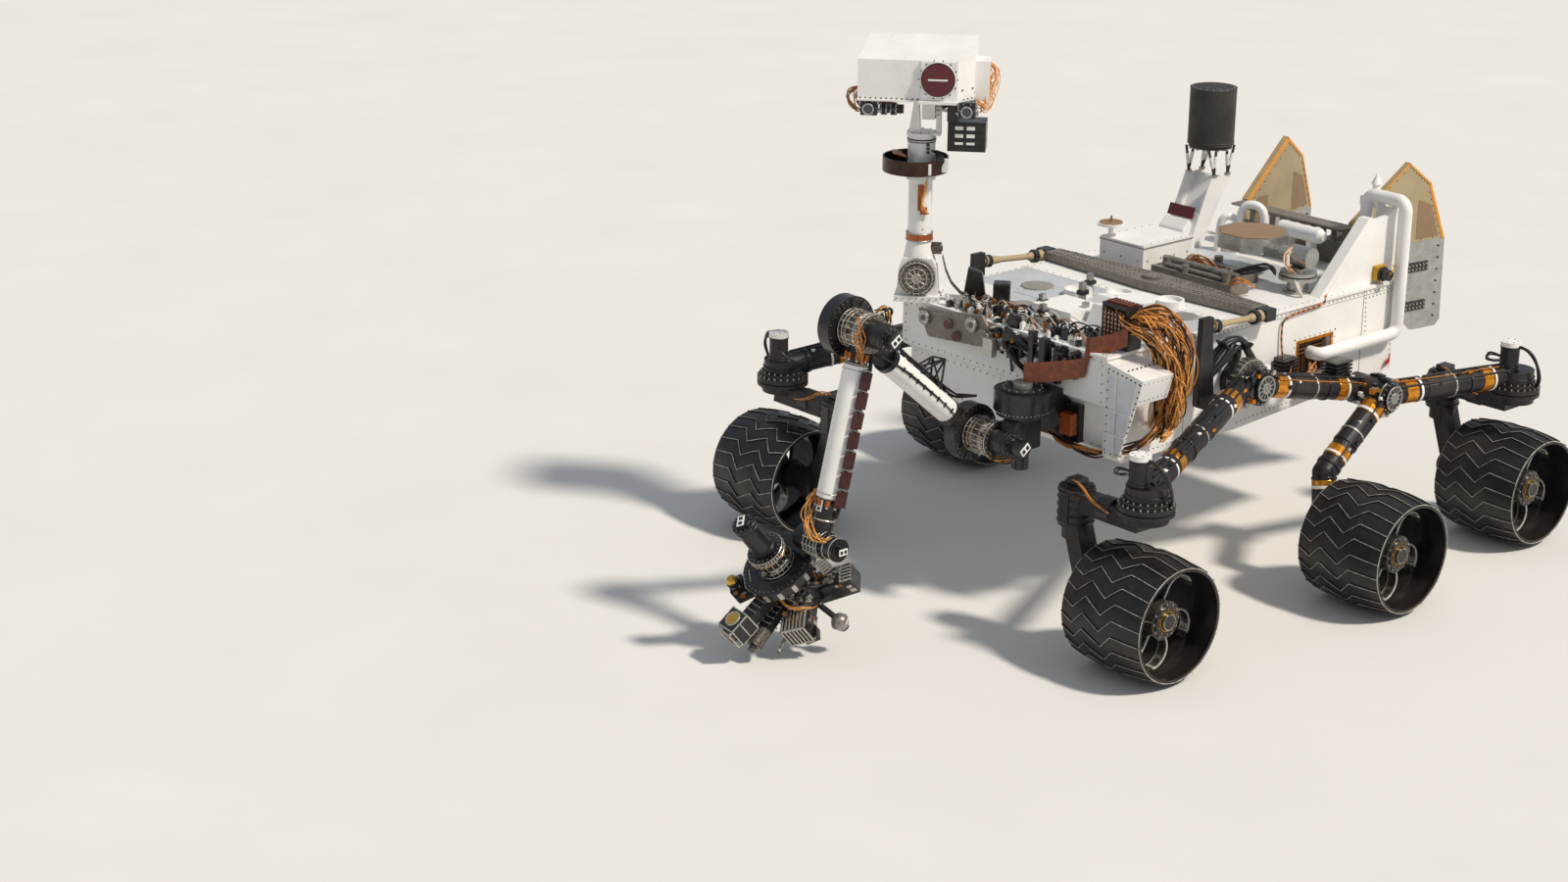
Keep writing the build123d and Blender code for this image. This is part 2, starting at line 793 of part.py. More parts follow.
def make_connector_box():
    low = deck_z + deck_thickness + seat
    shell = block(812, 892, 452, 596, low, 1292)
    return [shell - block(884, 900, 466, 582, 1150, 1278)]


save("hazard_cameras", [make_camera_plate()])
save("front_gusset", make_gusset())
save("connector_box", make_connector_box())


# Arm mount on the body front, holding the azimuth actuator
def make_arm_mount():
    x, y = arm_azimuth
    face = body_front_x - 55 + seat
    low = arm_mount_z + joint_gap
    plate = block(face, face + 30, y - 150, y + 150, 705, 862)
    bracket = side_plate([(face, 705), (face, 862), (body_front_x + seat, 898),
                          (body_front_x + seat, 926), (x - 60, 926), (x - 60, low),
                          (x - 112, low), (body_front_x + 5, 780),
                          (body_front_x - 20, 705)], y - 80, y + 80)
    drum = upright(x, y, low, 936, 117)
    lid = upright(x, y, 936, 944, 92)
    return joined([plate, bracket, drum, lid])


# Shoulder: hangs from the azimuth drum and carries the gear and motor that raise the arm
gear_start = upper_arm_y + upper_disc_width / 2 + joint_gap
gear_end = gear_start + gear_width


def make_shoulder():
    x, y = arm_azimuth
    ex, ez = shoulder
    flange = upright(x, y, arm_mount_z - 18, arm_mount_z, 105)
    top = arm_mount_z - 18
    neck = upright(x, y, ez + 78, top, 62)
    tie = side_plate([(x - 50, ez - 40), (ex, ez - 46), (ex + 40, ez), (ex, ez + 48),
                      (x + 78, top), (x - 50, top)], gear_end + 7, y + 60)
    motor = across(ex, ez, gear_end + seat, y + 70, arm_motor_radius)
    tip = across(ex, ez, y + 70, y + 134, 32)
    stub = upright(x, y, 600, ez - 40, 36)
    return joined([flange, neck, tie, motor, tip, stub])


def make_gear(x, z):
    return joined([
        across(x, z, gear_start, gear_end, gear_radius - 7),
        across(x, z, gear_start, gear_start + 22, gear_radius),
        across(x, z, gear_start + 46, gear_start + 70, gear_radius),
        across(x, z, gear_end - 22, gear_end, gear_radius),
    ])


def away(point, run, distance, y):
    return (point[0] + run.X * distance, y, point[1] + run.Z * distance)


upper_run = Vector(elbow[0] - shoulder[0], 0, elbow[1] - shoulder[1])
upper_length = upper_run.length
upper_run = upper_run.normalized()
upper_tube_start = 180.0
upper_tube_end = 600.0


# Upper arm: a black disc and bracket at each end and a white tube between them
def make_upper_bracket(centre, run, reach):
    y0 = upper_arm_y - upper_disc_width / 2
    y1 = upper_arm_y + upper_disc_width / 2
    disc = across(centre[0], centre[1], y0, y1, arm_disc_radius)
    side = Vector(-run.Z, 0, run.X) * 42
    far = Vector(centre[0], 0, centre[1]) + run * reach
    near = Vector(centre[0], 0, centre[1]) + run * 60
    bar = side_plate([((near + side).X, (near + side).Z), ((far + side).X, (far + side).Z),
                      ((far - side).X, (far - side).Z), ((near - side).X, (near - side).Z)],
                     y0, y1)
    collar = rod(away(centre, run, reach - 26, upper_arm_y), away(centre, run, reach, upper_arm_y), 54)
    return joined([disc, bar, collar])


def make_upper_tube():
    start = upper_tube_start + seat
    end = upper_tube_end - seat
    return rod(away(shoulder, upper_run, start, upper_arm_y),
               away(shoulder, upper_run, end, upper_arm_y), arm_tube_radius)


# Forearm: hangs from the elbow gear, beside the discs of the upper arm
fore_run = Vector(wrist[0] - elbow[0], 0, wrist[1] - elbow[1])
fore_length = fore_run.length
fore_run = fore_run.normalized()
wrist_barrel_left = 240.0


def make_forearm():
    tube_start = 133.0
    tube_end = fore_length - 183
    top = rod(away(elbow, fore_run, 50, forearm_y), away(elbow, fore_run, tube_start, forearm_y), 40)
    shaft = rod(away(elbow, fore_run, tube_start, forearm_y),
                away(elbow, fore_run, tube_end, forearm_y), arm_tube_radius)
    low = rod(away(elbow, fore_run, tube_end, forearm_y), (wrist[0], forearm_y, wrist[1]), 38)
    barrel = across(wrist[0], wrist[1], 150, wrist_barrel_left, 52)
    room = across(elbow[0], elbow[1], gear_start - 10, gear_end + 10, gear_radius + seat)
    return joined([top, shaft, low, barrel]) - room


def make_forearm_motors():
    elbow_motor = joined([
        across(elbow[0], elbow[1], gear_end + seat, 350, arm_motor_radius),
        across(elbow[0], elbow[1], 350, 385, 30),
    ])
    wrist_motor = joined([
        across(wrist[0], wrist[1], wrist_barrel_left + seat, 320, 42),
        across(wrist[0], wrist[1], 320, 335, 26),
    ])
    return [elbow_motor, wrist_motor]


save("arm_mount", [make_arm_mount()])
save("arm_shoulder", [make_shoulder()])
save("shoulder_gear", [make_gear(*shoulder)])
save("upper_arm_brackets", [
    make_upper_bracket(shoulder, upper_run, upper_tube_start),
    make_upper_bracket(elbow, -upper_run, upper_length - upper_tube_end),
])
save("upper_arm", [make_upper_tube()])
save("elbow_gear", [make_gear(*elbow)])
save("forearm", [make_forearm()])
save("forearm_motors", make_forearm_motors())


# Wrist and turret are made about the turret axis, +X forward and down, +Z along the motor
def on_turret(shape):
    x, y, z = turret_centre
    return Pos(x, y, z) * Rot(0, 90 - turret_tilt, 0) * shape


def make_wrist():
    eye_x, eye_z = -131.0, 65.0
    plate = rod((0, 0, -22), (0, 0, 22), turret_radius)
    clutch = joined([
        rod((0, 0, 22), (0, 0, 120), gear_radius - 6),
        rod((0, 0, 34), (0, 0, 52), gear_radius),
        rod((0, 0, 66), (0, 0, 84), gear_radius),
        rod((0, 0, 98), (0, 0, 120), gear_radius),
    ])
    motor = rod((0, 0, 120), (0, 0, 292), 46)
    tip = rod((0, 0, 292), (0, 0, 307), 30)
    eye = across(eye_x, eye_z, 65, 115, 50)
    bracket = block(-165, -60, 65, 115, 5, 65)
    return on_turret(joined([plate, clutch, motor, tip, eye, bracket]))


# Turret arms, dark: degrees round from straight ahead, inner and outer reach, half width,
# low, high
turret_arms = [
    (35.0, 60.0, 205.0, 50.0, -235.0, -150.0),
    (-6.0, 60.0, 232.0, 30.0, -88.0, -40.0),
    (4.0, 60.0, 222.0, 24.0, -150.0, -105.0),
    (-40.0, 60.0, 215.0, 35.0, -60.0, -27.0),
    (130.0, 60.0, 235.0, 45.0, -235.0, -150.0),
    (45.0, 150.0, 200.0, 30.0, -262.0, -230.0),
]


def make_turret():
    core = rod((0, 0, -22 - joint_gap), (0, 0, -215), turret_core_radius)
    arms = [
        Rot(0, 0, turn) * block(inner, outer, -half, half, low, high)
        for turn, inner, outer, half, low, high in turret_arms
    ]
    sensor = Rot(0, 0, -40) * block(158, 215, -35, 35, -60, 20)
    spike = Rot(0, 0, 14) * rod((80, 0, -208), (262, 0, -216), 7)
    stem = Rot(0, 0, 85) * rod((60, 0, -190), (171, 0, -262), 12)
    ball = Rot(0, 0, 85) * Pos(171, 0, -279) * Sphere(34)
    return on_turret(joined([core, sensor, spike, stem, ball] + arms))


def make_turret_tools():
    case = Rot(0, 0, -6) * block(232 + seat, 322, -45, 45, -90, 0)
    nose = Rot(0, 0, -6) * rod((322, 0, -42), (334, 0, -42), 34)
    bit = Rot(0, 0, 4) * rod((222 + seat, 0, -128), (300, 0, -128), 32)
    tip = Rot(0, 0, 4) * rod((300, 0, -128), (322, 0, -128), 14)
    return [on_turret(joined([case, nose])), on_turret(joined([bit, tip]))]


save("wrist", [make_wrist()])
save("turret", [make_turret()])
save("turret_tools", make_turret_tools())
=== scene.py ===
import json
import random
from math import cos, degrees, pi, radians, sin

import bmesh
import bpy
from mathutils import Matrix, Vector


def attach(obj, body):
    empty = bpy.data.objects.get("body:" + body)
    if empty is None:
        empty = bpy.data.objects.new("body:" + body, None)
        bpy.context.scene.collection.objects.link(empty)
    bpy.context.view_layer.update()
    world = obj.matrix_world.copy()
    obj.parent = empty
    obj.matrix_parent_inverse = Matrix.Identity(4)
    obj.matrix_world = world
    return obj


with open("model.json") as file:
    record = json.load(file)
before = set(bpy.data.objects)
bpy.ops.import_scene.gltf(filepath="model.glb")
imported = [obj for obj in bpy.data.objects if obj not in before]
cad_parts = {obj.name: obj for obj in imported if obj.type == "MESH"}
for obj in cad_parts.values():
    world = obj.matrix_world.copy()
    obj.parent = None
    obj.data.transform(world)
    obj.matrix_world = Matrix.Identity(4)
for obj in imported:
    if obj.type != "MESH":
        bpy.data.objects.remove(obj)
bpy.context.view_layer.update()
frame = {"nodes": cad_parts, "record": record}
record = frame["record"]

# Places below are in millimetres from the middle axle on the ground, as in the part's source
originAhead = 487.8
rover = Matrix.Translation((-originAhead / 1000, 0, 0)) @ Matrix.Scale(0.001, 4)


def at(x, y, z):
    return rover @ Vector((x, y, z))


def turned(place, x, y, z, angle=0.0, axis="Z"):
    return place @ Matrix.Translation((x, y, z)) @ Matrix.Rotation(radians(angle), 4, axis)


up, down, forward, leftward = (0, 0, 1), (0, 0, -1), (1, 0, 0), (0, 1, 0)
headFrame = turned(rover, 980, -520, 0, 41.6)
turretFrame = turned(rover, 2218, 30, 361, 40, "Y")


def linear(hexText):
    values = [int(hexText[i:i + 2], 16) / 255 for i in (1, 3, 5)]
    return [v / 12.92 if v <= 0.04045 else ((v + 0.055) / 1.055) ** 2.4 for v in values] + [1.0]


# Nodes: one function adds a node with its settings and links, and pattern sizes are in millimetres
def addNode(tree, kind, settings=(), links=()):
    node = tree.nodes.new(kind)
    for key, value in dict(settings).items():
        if isinstance(key, int) or key in node.inputs:
            node.inputs[key].default_value = value
        else:
            setattr(node, key, value)
    for key, socket in dict(links).items():
        tree.links.new(socket, node.inputs[key])
    return node


def ramp(tree, socket, low, high, start=0.0, end=1.0):
    node = addNode(tree, "ShaderNodeMapRange",
                   {"From Min": low, "From Max": high, "To Min": start, "To Max": end},
                   {"Value": socket})
    return node.outputs[0]


def mixColor(tree, factor, a, b):
    node = tree.nodes.new("ShaderNodeMix")
    node.data_type = "RGBA"
    tree.links.new(factor, node.inputs[0])
    for index, value in ((6, a), (7, b)):
        if isinstance(value, list):
            node.inputs[index].default_value = value
        else:
            tree.links.new(value, node.inputs[index])
    return node.outputs[2]


# The noise repeats about once in each size, which is given in millimetres
def noise(tree, coords, size, detail=4.0, rough=0.55):
    node = addNode(tree, "ShaderNodeTexNoise",
                   {"Scale": 1000.0 / size, "Detail": detail, "Roughness": rough},
                   {"Vector": coords})
    return node.outputs[0]


# A wave of scale 1 repeats 3.18 times in a metre
def stripes(tree, coords, size, axis):
    wavesInMetre = 3.18
    node = addNode(tree, "ShaderNodeTexWave",
                   {"bands_direction": axis, "Scale": 1000.0 / size / wavesInMetre, "Distortion": 0.0},
                   {"Vector": coords})
    return node.outputs[1]


# Materials, each under a note on what the real one is
materials = {}


# Dust lies in broad smudges broken by fine specks; on the wheels more of it lies near the ground
dust = {"smudge": 240.0, "speck": 14.0, "groundShare": 0.3}


def times(tree, first, second):
    return addNode(tree, "ShaderNodeMath", {"operation": "MULTIPLY"}, {0: first, 1: second}).outputs[0]


def dusted(tree, coords, color, dirt, dirtColor, low):
    smudge = noise(tree, coords, dust["smudge"], 8.0, 0.65)
    speck = noise(tree, coords, dust["speck"], 3.0, 0.6)
    amount = times(tree, ramp(tree, smudge, 0.42, 0.72), ramp(tree, speck, 0.3, 0.7))
    factor = addNode(tree, "ShaderNodeMath", {"operation": "MULTIPLY", 1: dirt}, {0: amount}).outputs[0]
    if low:
        height = addNode(tree, "ShaderNodeSeparateXYZ", {}, {0: coords}).outputs[2]
        ground = times(tree, ramp(tree, height, low / 1000, 0.0, 0.0, dust["groundShare"]),
                       ramp(tree, smudge, 0.3, 0.6))
        factor = addNode(tree, "ShaderNodeMath", {"operation": "MAXIMUM"}, {0: factor, 1: ground}).outputs[0]
    return mixColor(tree, factor, color, linear(dirtColor))


# grain, bumpSize and low are in millimetres; spread is how softly the two colours meet
def makeMaterial(name, base, second, grain=60.0, roughness=0.45, metallic=0.0, dirt=0.15,
                 dirtColor="#6b4a34", bump=0.15, bumpSize=6.0, spread=0.6, coat=0.0, low=None,
                 bands=None):
    material = bpy.data.materials.new(name)
    material.use_nodes = True
    tree = material.node_tree
    shader = tree.nodes["Principled BSDF"]
    coords = addNode(tree, "ShaderNodeTexCoord").outputs["Object"]
    patch = stripes(tree, coords, *bands) if bands else noise(tree, coords, grain)
    color = mixColor(tree, ramp(tree, patch, 0.5 - spread / 2, 0.5 + spread / 2),
                     linear(base), linear(second))
    if dirt > 0:
        color = dusted(tree, coords, color, dirt, dirtColor, low)
    tree.links.new(color, shader.inputs["Base Color"])
    rough = ramp(tree, noise(tree, coords, grain * 0.6), 0.3, 0.7, max(roughness - 0.1, 0.05),
                 min(roughness + 0.12, 1.0))
    tree.links.new(rough, shader.inputs["Roughness"])
    shader.inputs["Metallic"].default_value = metallic
    shader.inputs["Coat Weight"].default_value = coat
    if bump > 0:
        height = noise(tree, coords, bumpSize, 2.0)
        bumped = addNode(tree, "ShaderNodeBump", {"Strength": bump, "Distance": 0.001},
                         {"Height": height})
        tree.links.new(bumped.outputs[0], shader.inputs["Normal"])
    materials[name] = material
    return material


# White thermal paint on aluminium: even, a little satin, with faint tan dust
makeMaterial("whitePaint", "#f1f0ed", "#e6e5e1", 180, 0.42, dirt=0.3, dirtColor="#a8957e", bump=0.06)
# Black anodised aluminium skin: dark and satin, browner with dust near the ground
makeMaterial("wheelBlack", "#17161a", "#262424", 70, 0.4, 0.25, dirt=0.5, dirtColor="#4b3d33",
             bump=0.2, low=260)
# Black painted titanium tube: near black with a soft sheen and brown dust
makeMaterial("legBlack", "#17181b", "#25262a", 90, 0.42, 0.3, dirt=0.5, dirtColor="#5c4636", bump=0.12)
# Polished titanium spring: bright and dark by turns, painted reflections of its surroundings
makeMaterial("springMetal", "#4f4b45", "#b5afa4", 24, 0.24, 0.85, dirt=0.4, dirtColor="#1f1b18", coat=0.3)
# Black anodised motor housing: smooth, with a thin clear shine
makeMaterial("motorBlack", "#101114", "#1b1c20", 60, 0.34, 0.1, dirt=0.35, dirtColor="#4b3f36", coat=0.15)
# Bare machined beam: grey with a fine grain and brown in its pits
makeMaterial("beamGrey", "#6b655e", "#958e84", 16, 0.5, 0.3, dirt=0.6, dirtColor="#54463a", bump=0.3)
# Tan thermal coating: flat and dry
makeMaterial("tanCoat", "#b09f7d", "#9c8b6b", 150, 0.55, dirt=0.4, dirtColor="#75654b")
# Milled aluminium: light grey metal with soft highlights
makeMaterial("silverMetal", "#a3a29e", "#c0bfba", 40, 0.32, 0.85, dirt=0.4, dirtColor="#5d5247")
# Oiled gear steel: dark with worn bright spots
makeMaterial("gearMetal", "#312d2a", "#8f887d", 10, 0.3, 0.8, dirt=0.5, dirtColor="#12100e",
             bump=0.5, bumpSize=9)
# Black radiator paint: dull and bluish
makeMaterial("darkFins", "#1d1e22", "#2c2d33", 60, 0.45, 0.2, dirt=0.3)
# Black radome paint: very dull, with a brown cast
makeMaterial("antennaBlack", "#262523", "#312f2d", 120, 0.6, 0.0, dirt=0.25, dirtColor="#6b5a49")
# Amber polyimide film: copper brown with wrinkles and a glossy skin
makeMaterial("copperFilm", "#8a3c12", "#b8611f", 40, 0.32, 0.35, dirt=0.35, dirtColor="#3b1b0c",
             coat=0.4, bump=0.3, bumpSize=24)
# Aged flat cable: dark brown and glossy
makeMaterial("ribbonFilm", "#1d1310", "#4a2a16", 22, 0.34, 0.4, dirt=0.3, dirtColor="#0b0807", bump=0.5)
# Wide film cable: reddish brown, glossy and creased
makeMaterial("bandFilm", "#4a1d08", "#8c4212", 24, 0.3, 0.3, dirt=0.6, dirtColor="#1c0c05",
             bump=0.3, coat=0.3)
# Small milled fittings: broken bright and dark at the scale of their edges; the near-white patches are
# painted glints
makeMaterial("gearTrim", "#7f796f", "#f0ebe0", 9, 0.28, 0.6, dirt=0.5, dirtColor="#1c1613", bump=0.4)
# Polished spring edges: near white, painted highlights
makeMaterial("spokeHighlight", "#f6f2ea", "#b7b1a6", 26, 0.25, 0.35, dirt=0.15)
# Wound copper: dark brown to bright copper
makeMaterial("copperCoil", "#4a2812", "#c48a4a", 10, 0.3, 0.8, dirt=0.5, dirtColor="#140c08")
# Bead-blasted steel: mid grey, softly mottled
makeMaterial("toolMetal", "#5d5954", "#b4aea4", 12, 0.34, 0.6, dirt=0.4, dirtColor="#1c1815")
# Amber connector insulators: brown to orange
makeMaterial("amberBlock", "#7a3208", "#d07a1c", 16, 0.4, 0.1, dirt=0.5, dirtColor="#2a1206")
# Gold foil tape: wrinkled, mirrors warm light
makeMaterial("goldFilm", "#b8690f", "#f0a83a", 18, 0.24, 0.75, dirt=0.25, dirtColor="#8a4a10", bump=0.8,
             bumpSize=16)
# Tips and rim edges of the wheels: painted highlights, silver in places and black in others, with brown dust
makeMaterial("treadHighlight", "#e2ddd2", "#6a635a", 22, 0.4, 0.3, dirt=0.5, dirtColor="#37302a", spread=0.5)
# Orange insulated wire: glossy, rust to pale gold along its length; the pale gold is painted highlight and
# the rust painted shade
makeMaterial("orangeWire", "#c8660f", "#ffc45c", 9, 0.28, dirt=0.5, dirtColor="#4a1e0a", coat=0.7)
# Brown insulated wire: glossy, from dark brown to amber; the amber is painted highlight and the dark brown
# painted shade
makeMaterial("amberWire", "#6f330c", "#e0902a", 9, 0.3, dirt=0.5, dirtColor="#1c0d05", coat=0.7)
# Black braided sleeve: dark with a fine weave, drawn coarser than it is so that it shows
makeMaterial("blackCable", "#101113", "#1d1e21", 30, 0.4, dirt=0.3, bump=0.4, bumpSize=8)
# White insulated cable: ivory and satin
makeMaterial("whiteCable", "#dcd8cf", "#c6c0b4", 40, 0.5, dirt=0.3)
# Deep red anodised lens cover: dark and smooth
makeMaterial("redCover", "#5f0b17", "#4d0812", 30, 0.4, dirt=0.1, coat=0.1)
# Red ribbon tag: bright and cloth-dull
makeMaterial("redTag", "#b3202e", "#8f1622", 30, 0.5, dirt=0.2)
# Coated lens glass: nearly black and mirror smooth
makeMaterial("lensGlass", "#0c0f18", "#1a2233", 30, 0.06, dirt=0.0, bump=0.0, coat=1.0)
# Gold-plated lens: warm mirror
makeMaterial("goldLens", "#b98a2a", "#e0b457", 12, 0.15, 0.9, dirt=0.0, bump=0.0, coat=0.6)
# Tan radiator paint on the antennas: flat and dusty
makeMaterial("tanTop", "#93795c", "#856c50", 90, 0.6, dirt=0.25)
# Matt white marking paint: even
makeMaterial("plainWhite", "#f2f2ef", "#e4e4e0", 60, 0.4, dirt=0.08)
# Blackened screw heads: dark metal
makeMaterial("darkBolt", "#2b2a29", "#4a4744", 9, 0.35, 0.8, dirt=0.2)
# Steel screw heads: bright metal with dark slots
makeMaterial("silverBolt", "#8c8881", "#c9c5bd", 9, 0.3, 0.95, dirt=0.3, dirtColor="#3d3028")
# Brass screw heads: warm metal
makeMaterial("brassBolt", "#9c7428", "#c79a45", 9, 0.3, 0.95, dirt=0.3, dirtColor="#3d3028")
# Unlit holes: black and dull
makeMaterial("darkInside", "#0b0a0a", "#191614", 40, 0.7, dirt=0.2)
# Film-wrapped inside of the side windows: brown and glossy in spots
makeMaterial("brownInside", "#33200f", "#6b451f", 30, 0.5, 0.2, dirt=0.4, dirtColor="#120b06")
# Grey primed plate: flat and slightly metallic
makeMaterial("greyPlate", "#8f8c86", "#a5a29b", 60, 0.5, 0.3, dirt=0.4, dirtColor="#5f574c")
# Tan braided harness with dark ties every few millimetres
makeMaterial("stripedBraid", "#cf7a34", "#4a2a16", 8, 0.5, dirt=0.3, bands=(16, "DIAGONAL"), spread=0.3)
# Brushed aluminium deck sheet: cool light grey with tan smudges
makeMaterial("deckSheet", "#ced2d6", "#bfc4c9", 120, 0.38, 0.2, dirt=0.35, dirtColor="#8d8577")
# Dark red cable covers, painted nearly black: painted shade darkens their red
makeMaterial("coverRed", "#220a0d", "#43141a", 30, 0.45, dirt=0.3)
# White paint on thin panels, a little greyer than the frame round them: painted shade of their recesses
makeMaterial("panelShade", "#dcdfe4", "#cfd3d8", 60, 0.5, dirt=0.12)
# Gold tape: orange and smooth
makeMaterial("goldTape", "#d0800f", "#f0a832", 30, 0.35, 0.1, dirt=0.25, dirtColor="#7a4708")
# Yellow chromate bracket: flat mustard
makeMaterial("yellowPlate", "#c99a1e", "#b58613", 30, 0.5, 0.3, dirt=0.2)

slotLook = {
    "white_paint": "whitePaint", "wheel_black": "wheelBlack", "leg_black": "legBlack",
    "spring_metal": "springMetal", "motor_black": "motorBlack", "beam_grey": "beamGrey",
    "tan_coat": "tanCoat", "silver_metal": "silverMetal", "gear_metal": "gearMetal",
    "dark_fins": "darkFins", "antenna_black": "antennaBlack", "copper_film": "ribbonFilm",
}
for entry in record["subparts"]:
    piece = frame["nodes"][entry["node"]]
    piece.data.materials.clear()
    piece.data.materials.append(materials[slotLook[entry["material_slot"]]])
print("materials done")


# Shapes that the pieces are made of, each added to an open bmesh
def addBox(mesh, place, low, high):
    middle = (Vector(low) + Vector(high)) / 2
    size = Vector(high) - Vector(low)
    bmesh.ops.create_cube(mesh, size=1.0,
                          matrix=place @ Matrix.Translation(middle) @ Matrix.Diagonal((*size, 1)))


def addRod(mesh, place, start, end, radius, sides=14, endRadius=None):
    a, b = Vector(start), Vector(end)
    turn = (b - a).to_track_quat("Z", "Y").to_matrix().to_4x4()
    bmesh.ops.create_cone(mesh, cap_ends=True, segments=sides, radius1=radius,
                          radius2=radius if endRadius is None else endRadius,
                          depth=(b - a).length, matrix=place @ Matrix.Translation((a + b) / 2) @ turn)


def addPrism(mesh, place, outline, depth):
    face = mesh.faces.new([mesh.verts.new(place @ Vector(p)) for p in outline])
    grown = bmesh.ops.extrude_face_region(mesh, geom=[face], use_keep_orig=True)["geom"]
    verts = [item for item in grown if isinstance(item, bmesh.types.BMVert)]
    bmesh.ops.translate(mesh, verts=verts, vec=place.to_3x3() @ Vector(depth))


def addTorus(mesh, place, centre, axis, radius, thickness, around=48, across=6):
    turn = Vector(axis).to_track_quat("Z", "Y").to_matrix().to_4x4()
    ring = place @ Matrix.Translation(centre) @ turn
    upright = Matrix.Translation((radius, 0, 0)) @ Matrix.Rotation(pi / 2, 4, "X")
    circle = bmesh.ops.create_circle(mesh, segments=across, radius=thickness,
                                     matrix=ring @ upright @ Matrix.Rotation(-pi / 2, 4, "Z"))["verts"]
    edges = list({edge for vert in circle for edge in vert.link_edges})
    bmesh.ops.spin(mesh, geom=circle + edges, cent=ring @ Vector((0, 0, 0)), axis=ring.to_3x3() @ Vector(up),
                   angle=2 * pi, steps=around, use_merge=True)


def rowOf(start, end, count):
    a, b = Vector(start), Vector(end)
    return [a.lerp(b, i / (count - 1)) for i in range(count)]


def circleOf(centre, axis, radius, count, first=0.0):
    turn = Vector(axis).to_track_quat("Z", "Y").to_matrix()
    points = []
    for i in range(count):
        a = radians(first) + 2 * pi * i / count
        points.append(Vector(centre) + turn @ Vector((radius * cos(a), radius * sin(a), 0)))
    return points


def addBolts(mesh, place, points, normal, radius=4.0, height=3.0, sides=6):
    out = Vector(normal).normalized()
    for point in points:
        addRod(mesh, place, Vector(point) - out * 0.5, Vector(point) + out * height, radius, sides,
               radius * 0.8)


def addPiece(name, mesh, look, body="rover_body", smooth=False, bevel=0.0):
    bmesh.ops.recalc_face_normals(mesh, faces=mesh.faces)
    data = bpy.data.meshes.new(name)
    mesh.to_mesh(data)
    mesh.free()
    data.materials.append(materials[look])
    piece = bpy.data.objects.new(name, data)
    bpy.context.scene.collection.objects.link(piece)
    if smooth:
        data.shade_smooth()
        data.set_sharp_from_angle(angle=radians(38))
    if bevel > 0:
        edge = piece.modifiers.new("bevel", "BEVEL")
        edge.width = bevel / 1000
        edge.segments = 2
    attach(piece, body)
    return piece


# Wires held along the rover: each route is a short list of given points
def addWires(name, look, radius, routes, body="rover_body", place=rover):
    curve = bpy.data.curves.new(name, "CURVE")
    curve.dimensions = "3D"
    curve.bevel_depth = radius / 1000
    curve.bevel_resolution = 1
    curve.resolution_u = 5
    curve.use_fill_caps = True
    curve.materials.append(materials[look])
    for route in routes:
        spline = curve.splines.new("NURBS")
        spline.points.add(len(route) - 1)
        for knot, spot in zip(spline.points, route):
            knot.co = (*(place @ Vector(spot)), 1.0)
        spline.order_u = 3
        spline.use_endpoint_u = True
    piece = bpy.data.objects.new(name, curve)
    bpy.context.scene.collection.objects.link(piece)
    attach(piece, body)
    return piece


def boltRing(mesh, place, centre, axis, ring, count, radius, tall, first=0):
    addBolts(mesh, place, circleOf(centre, axis, ring, count, first), axis, radius, tall)


def boltLine(mesh, place, start, end, count, axis, radius, tall):
    addBolts(mesh, place, rowOf(start, end, count), axis, radius, tall)


def newMeshes(count):
    return [bmesh.new() for _ in range(count)]


# Copies of one route with their points strewn, less so at the two ends
def bundle(route, count, spread, seed, tight=(0, -1)):
    chance = random.Random(seed)
    routes = []
    for i in range(count):
        points = []
        for index, point in enumerate(route):
            held = index in tight or index - len(route) in tight
            reach = spread * (0.35 if held else 1.0)
            points.append([c + chance.uniform(-reach, reach) for c in point])
        routes.append(points)
    return routes
# Wheels: zigzag grousers, tips and rim edges painted light as highlights, dark hub discs of painted shade,
# hub bolts and outlined spokes
wheels = {
    "places": {"fl": (1265, 1064), "fr": (1265, -1064), "ml": (0, 1197),
               "mr": (0, -1197), "rl": (-1100, 1064), "rr": (-1100, -1064)},
    "radius": 250.0, "crown": 19.0, "edgeRadius": 230.0, "halfWidth": 200.0, "grousers": 24,
    "height": 5.0, "thickness": 5.0, "tipThickness": 3.6,
    # share of the width from the middle outwards, degrees round the wheel
    "zigzag": [(-0.5, -0.5), (-0.33, 5.4), (-0.19, -7.8), (0.04, 3.0), (0.18, -10.2), (0.5, -7.5)],
    # distance out along the axle, radius
    "hubShades": [(128, 77), (136, 61), (150, 28)],
    "spokes": 6, "spokeRadius": 74.2, "spokeFoot": 79, "spokeBend": 120,
}


def treadPoint(centre, side, y, angle, lift):
    crown = wheels["radius"] - wheels["crown"] * (y / wheels["halfWidth"]) ** 2 + lift
    a = radians(angle)
    return rover @ Vector((centre[0] + crown * sin(a), centre[1] + side * y,
                           wheels["radius"] + crown * cos(a)))


def zigzagSteps():
    steps = []
    line = wheels["zigzag"]
    for (shareA, degreesA), (shareB, degreesB) in zip(line, line[1:]):
        for k in range(3):
            t = k / 3
            steps.append((shareA + (shareB - shareA) * t, degreesA + (degreesB - degreesA) * t))
    return steps + [line[-1]]


def addRib(mesh, centre, side, start, low, high, thickness):
    half = degrees(thickness / 2 / wheels["radius"])
    stations = []
    for share, turn in zigzagSteps():
        y = share * 2 * wheels["halfWidth"]
        corners = ((low, -half), (high, -half * 0.7), (high, half * 0.7), (low, half))
        stations.append([mesh.verts.new(treadPoint(centre, side, y, start + turn + off, lift))
                         for lift, off in corners])
    for a, b in zip(stations, stations[1:]):
        for i in range(4):
            j = (i + 1) % 4
            mesh.faces.new((a[i], a[j], b[j], b[i]))
    mesh.faces.new(stations[0])
    mesh.faces.new(stations[-1])


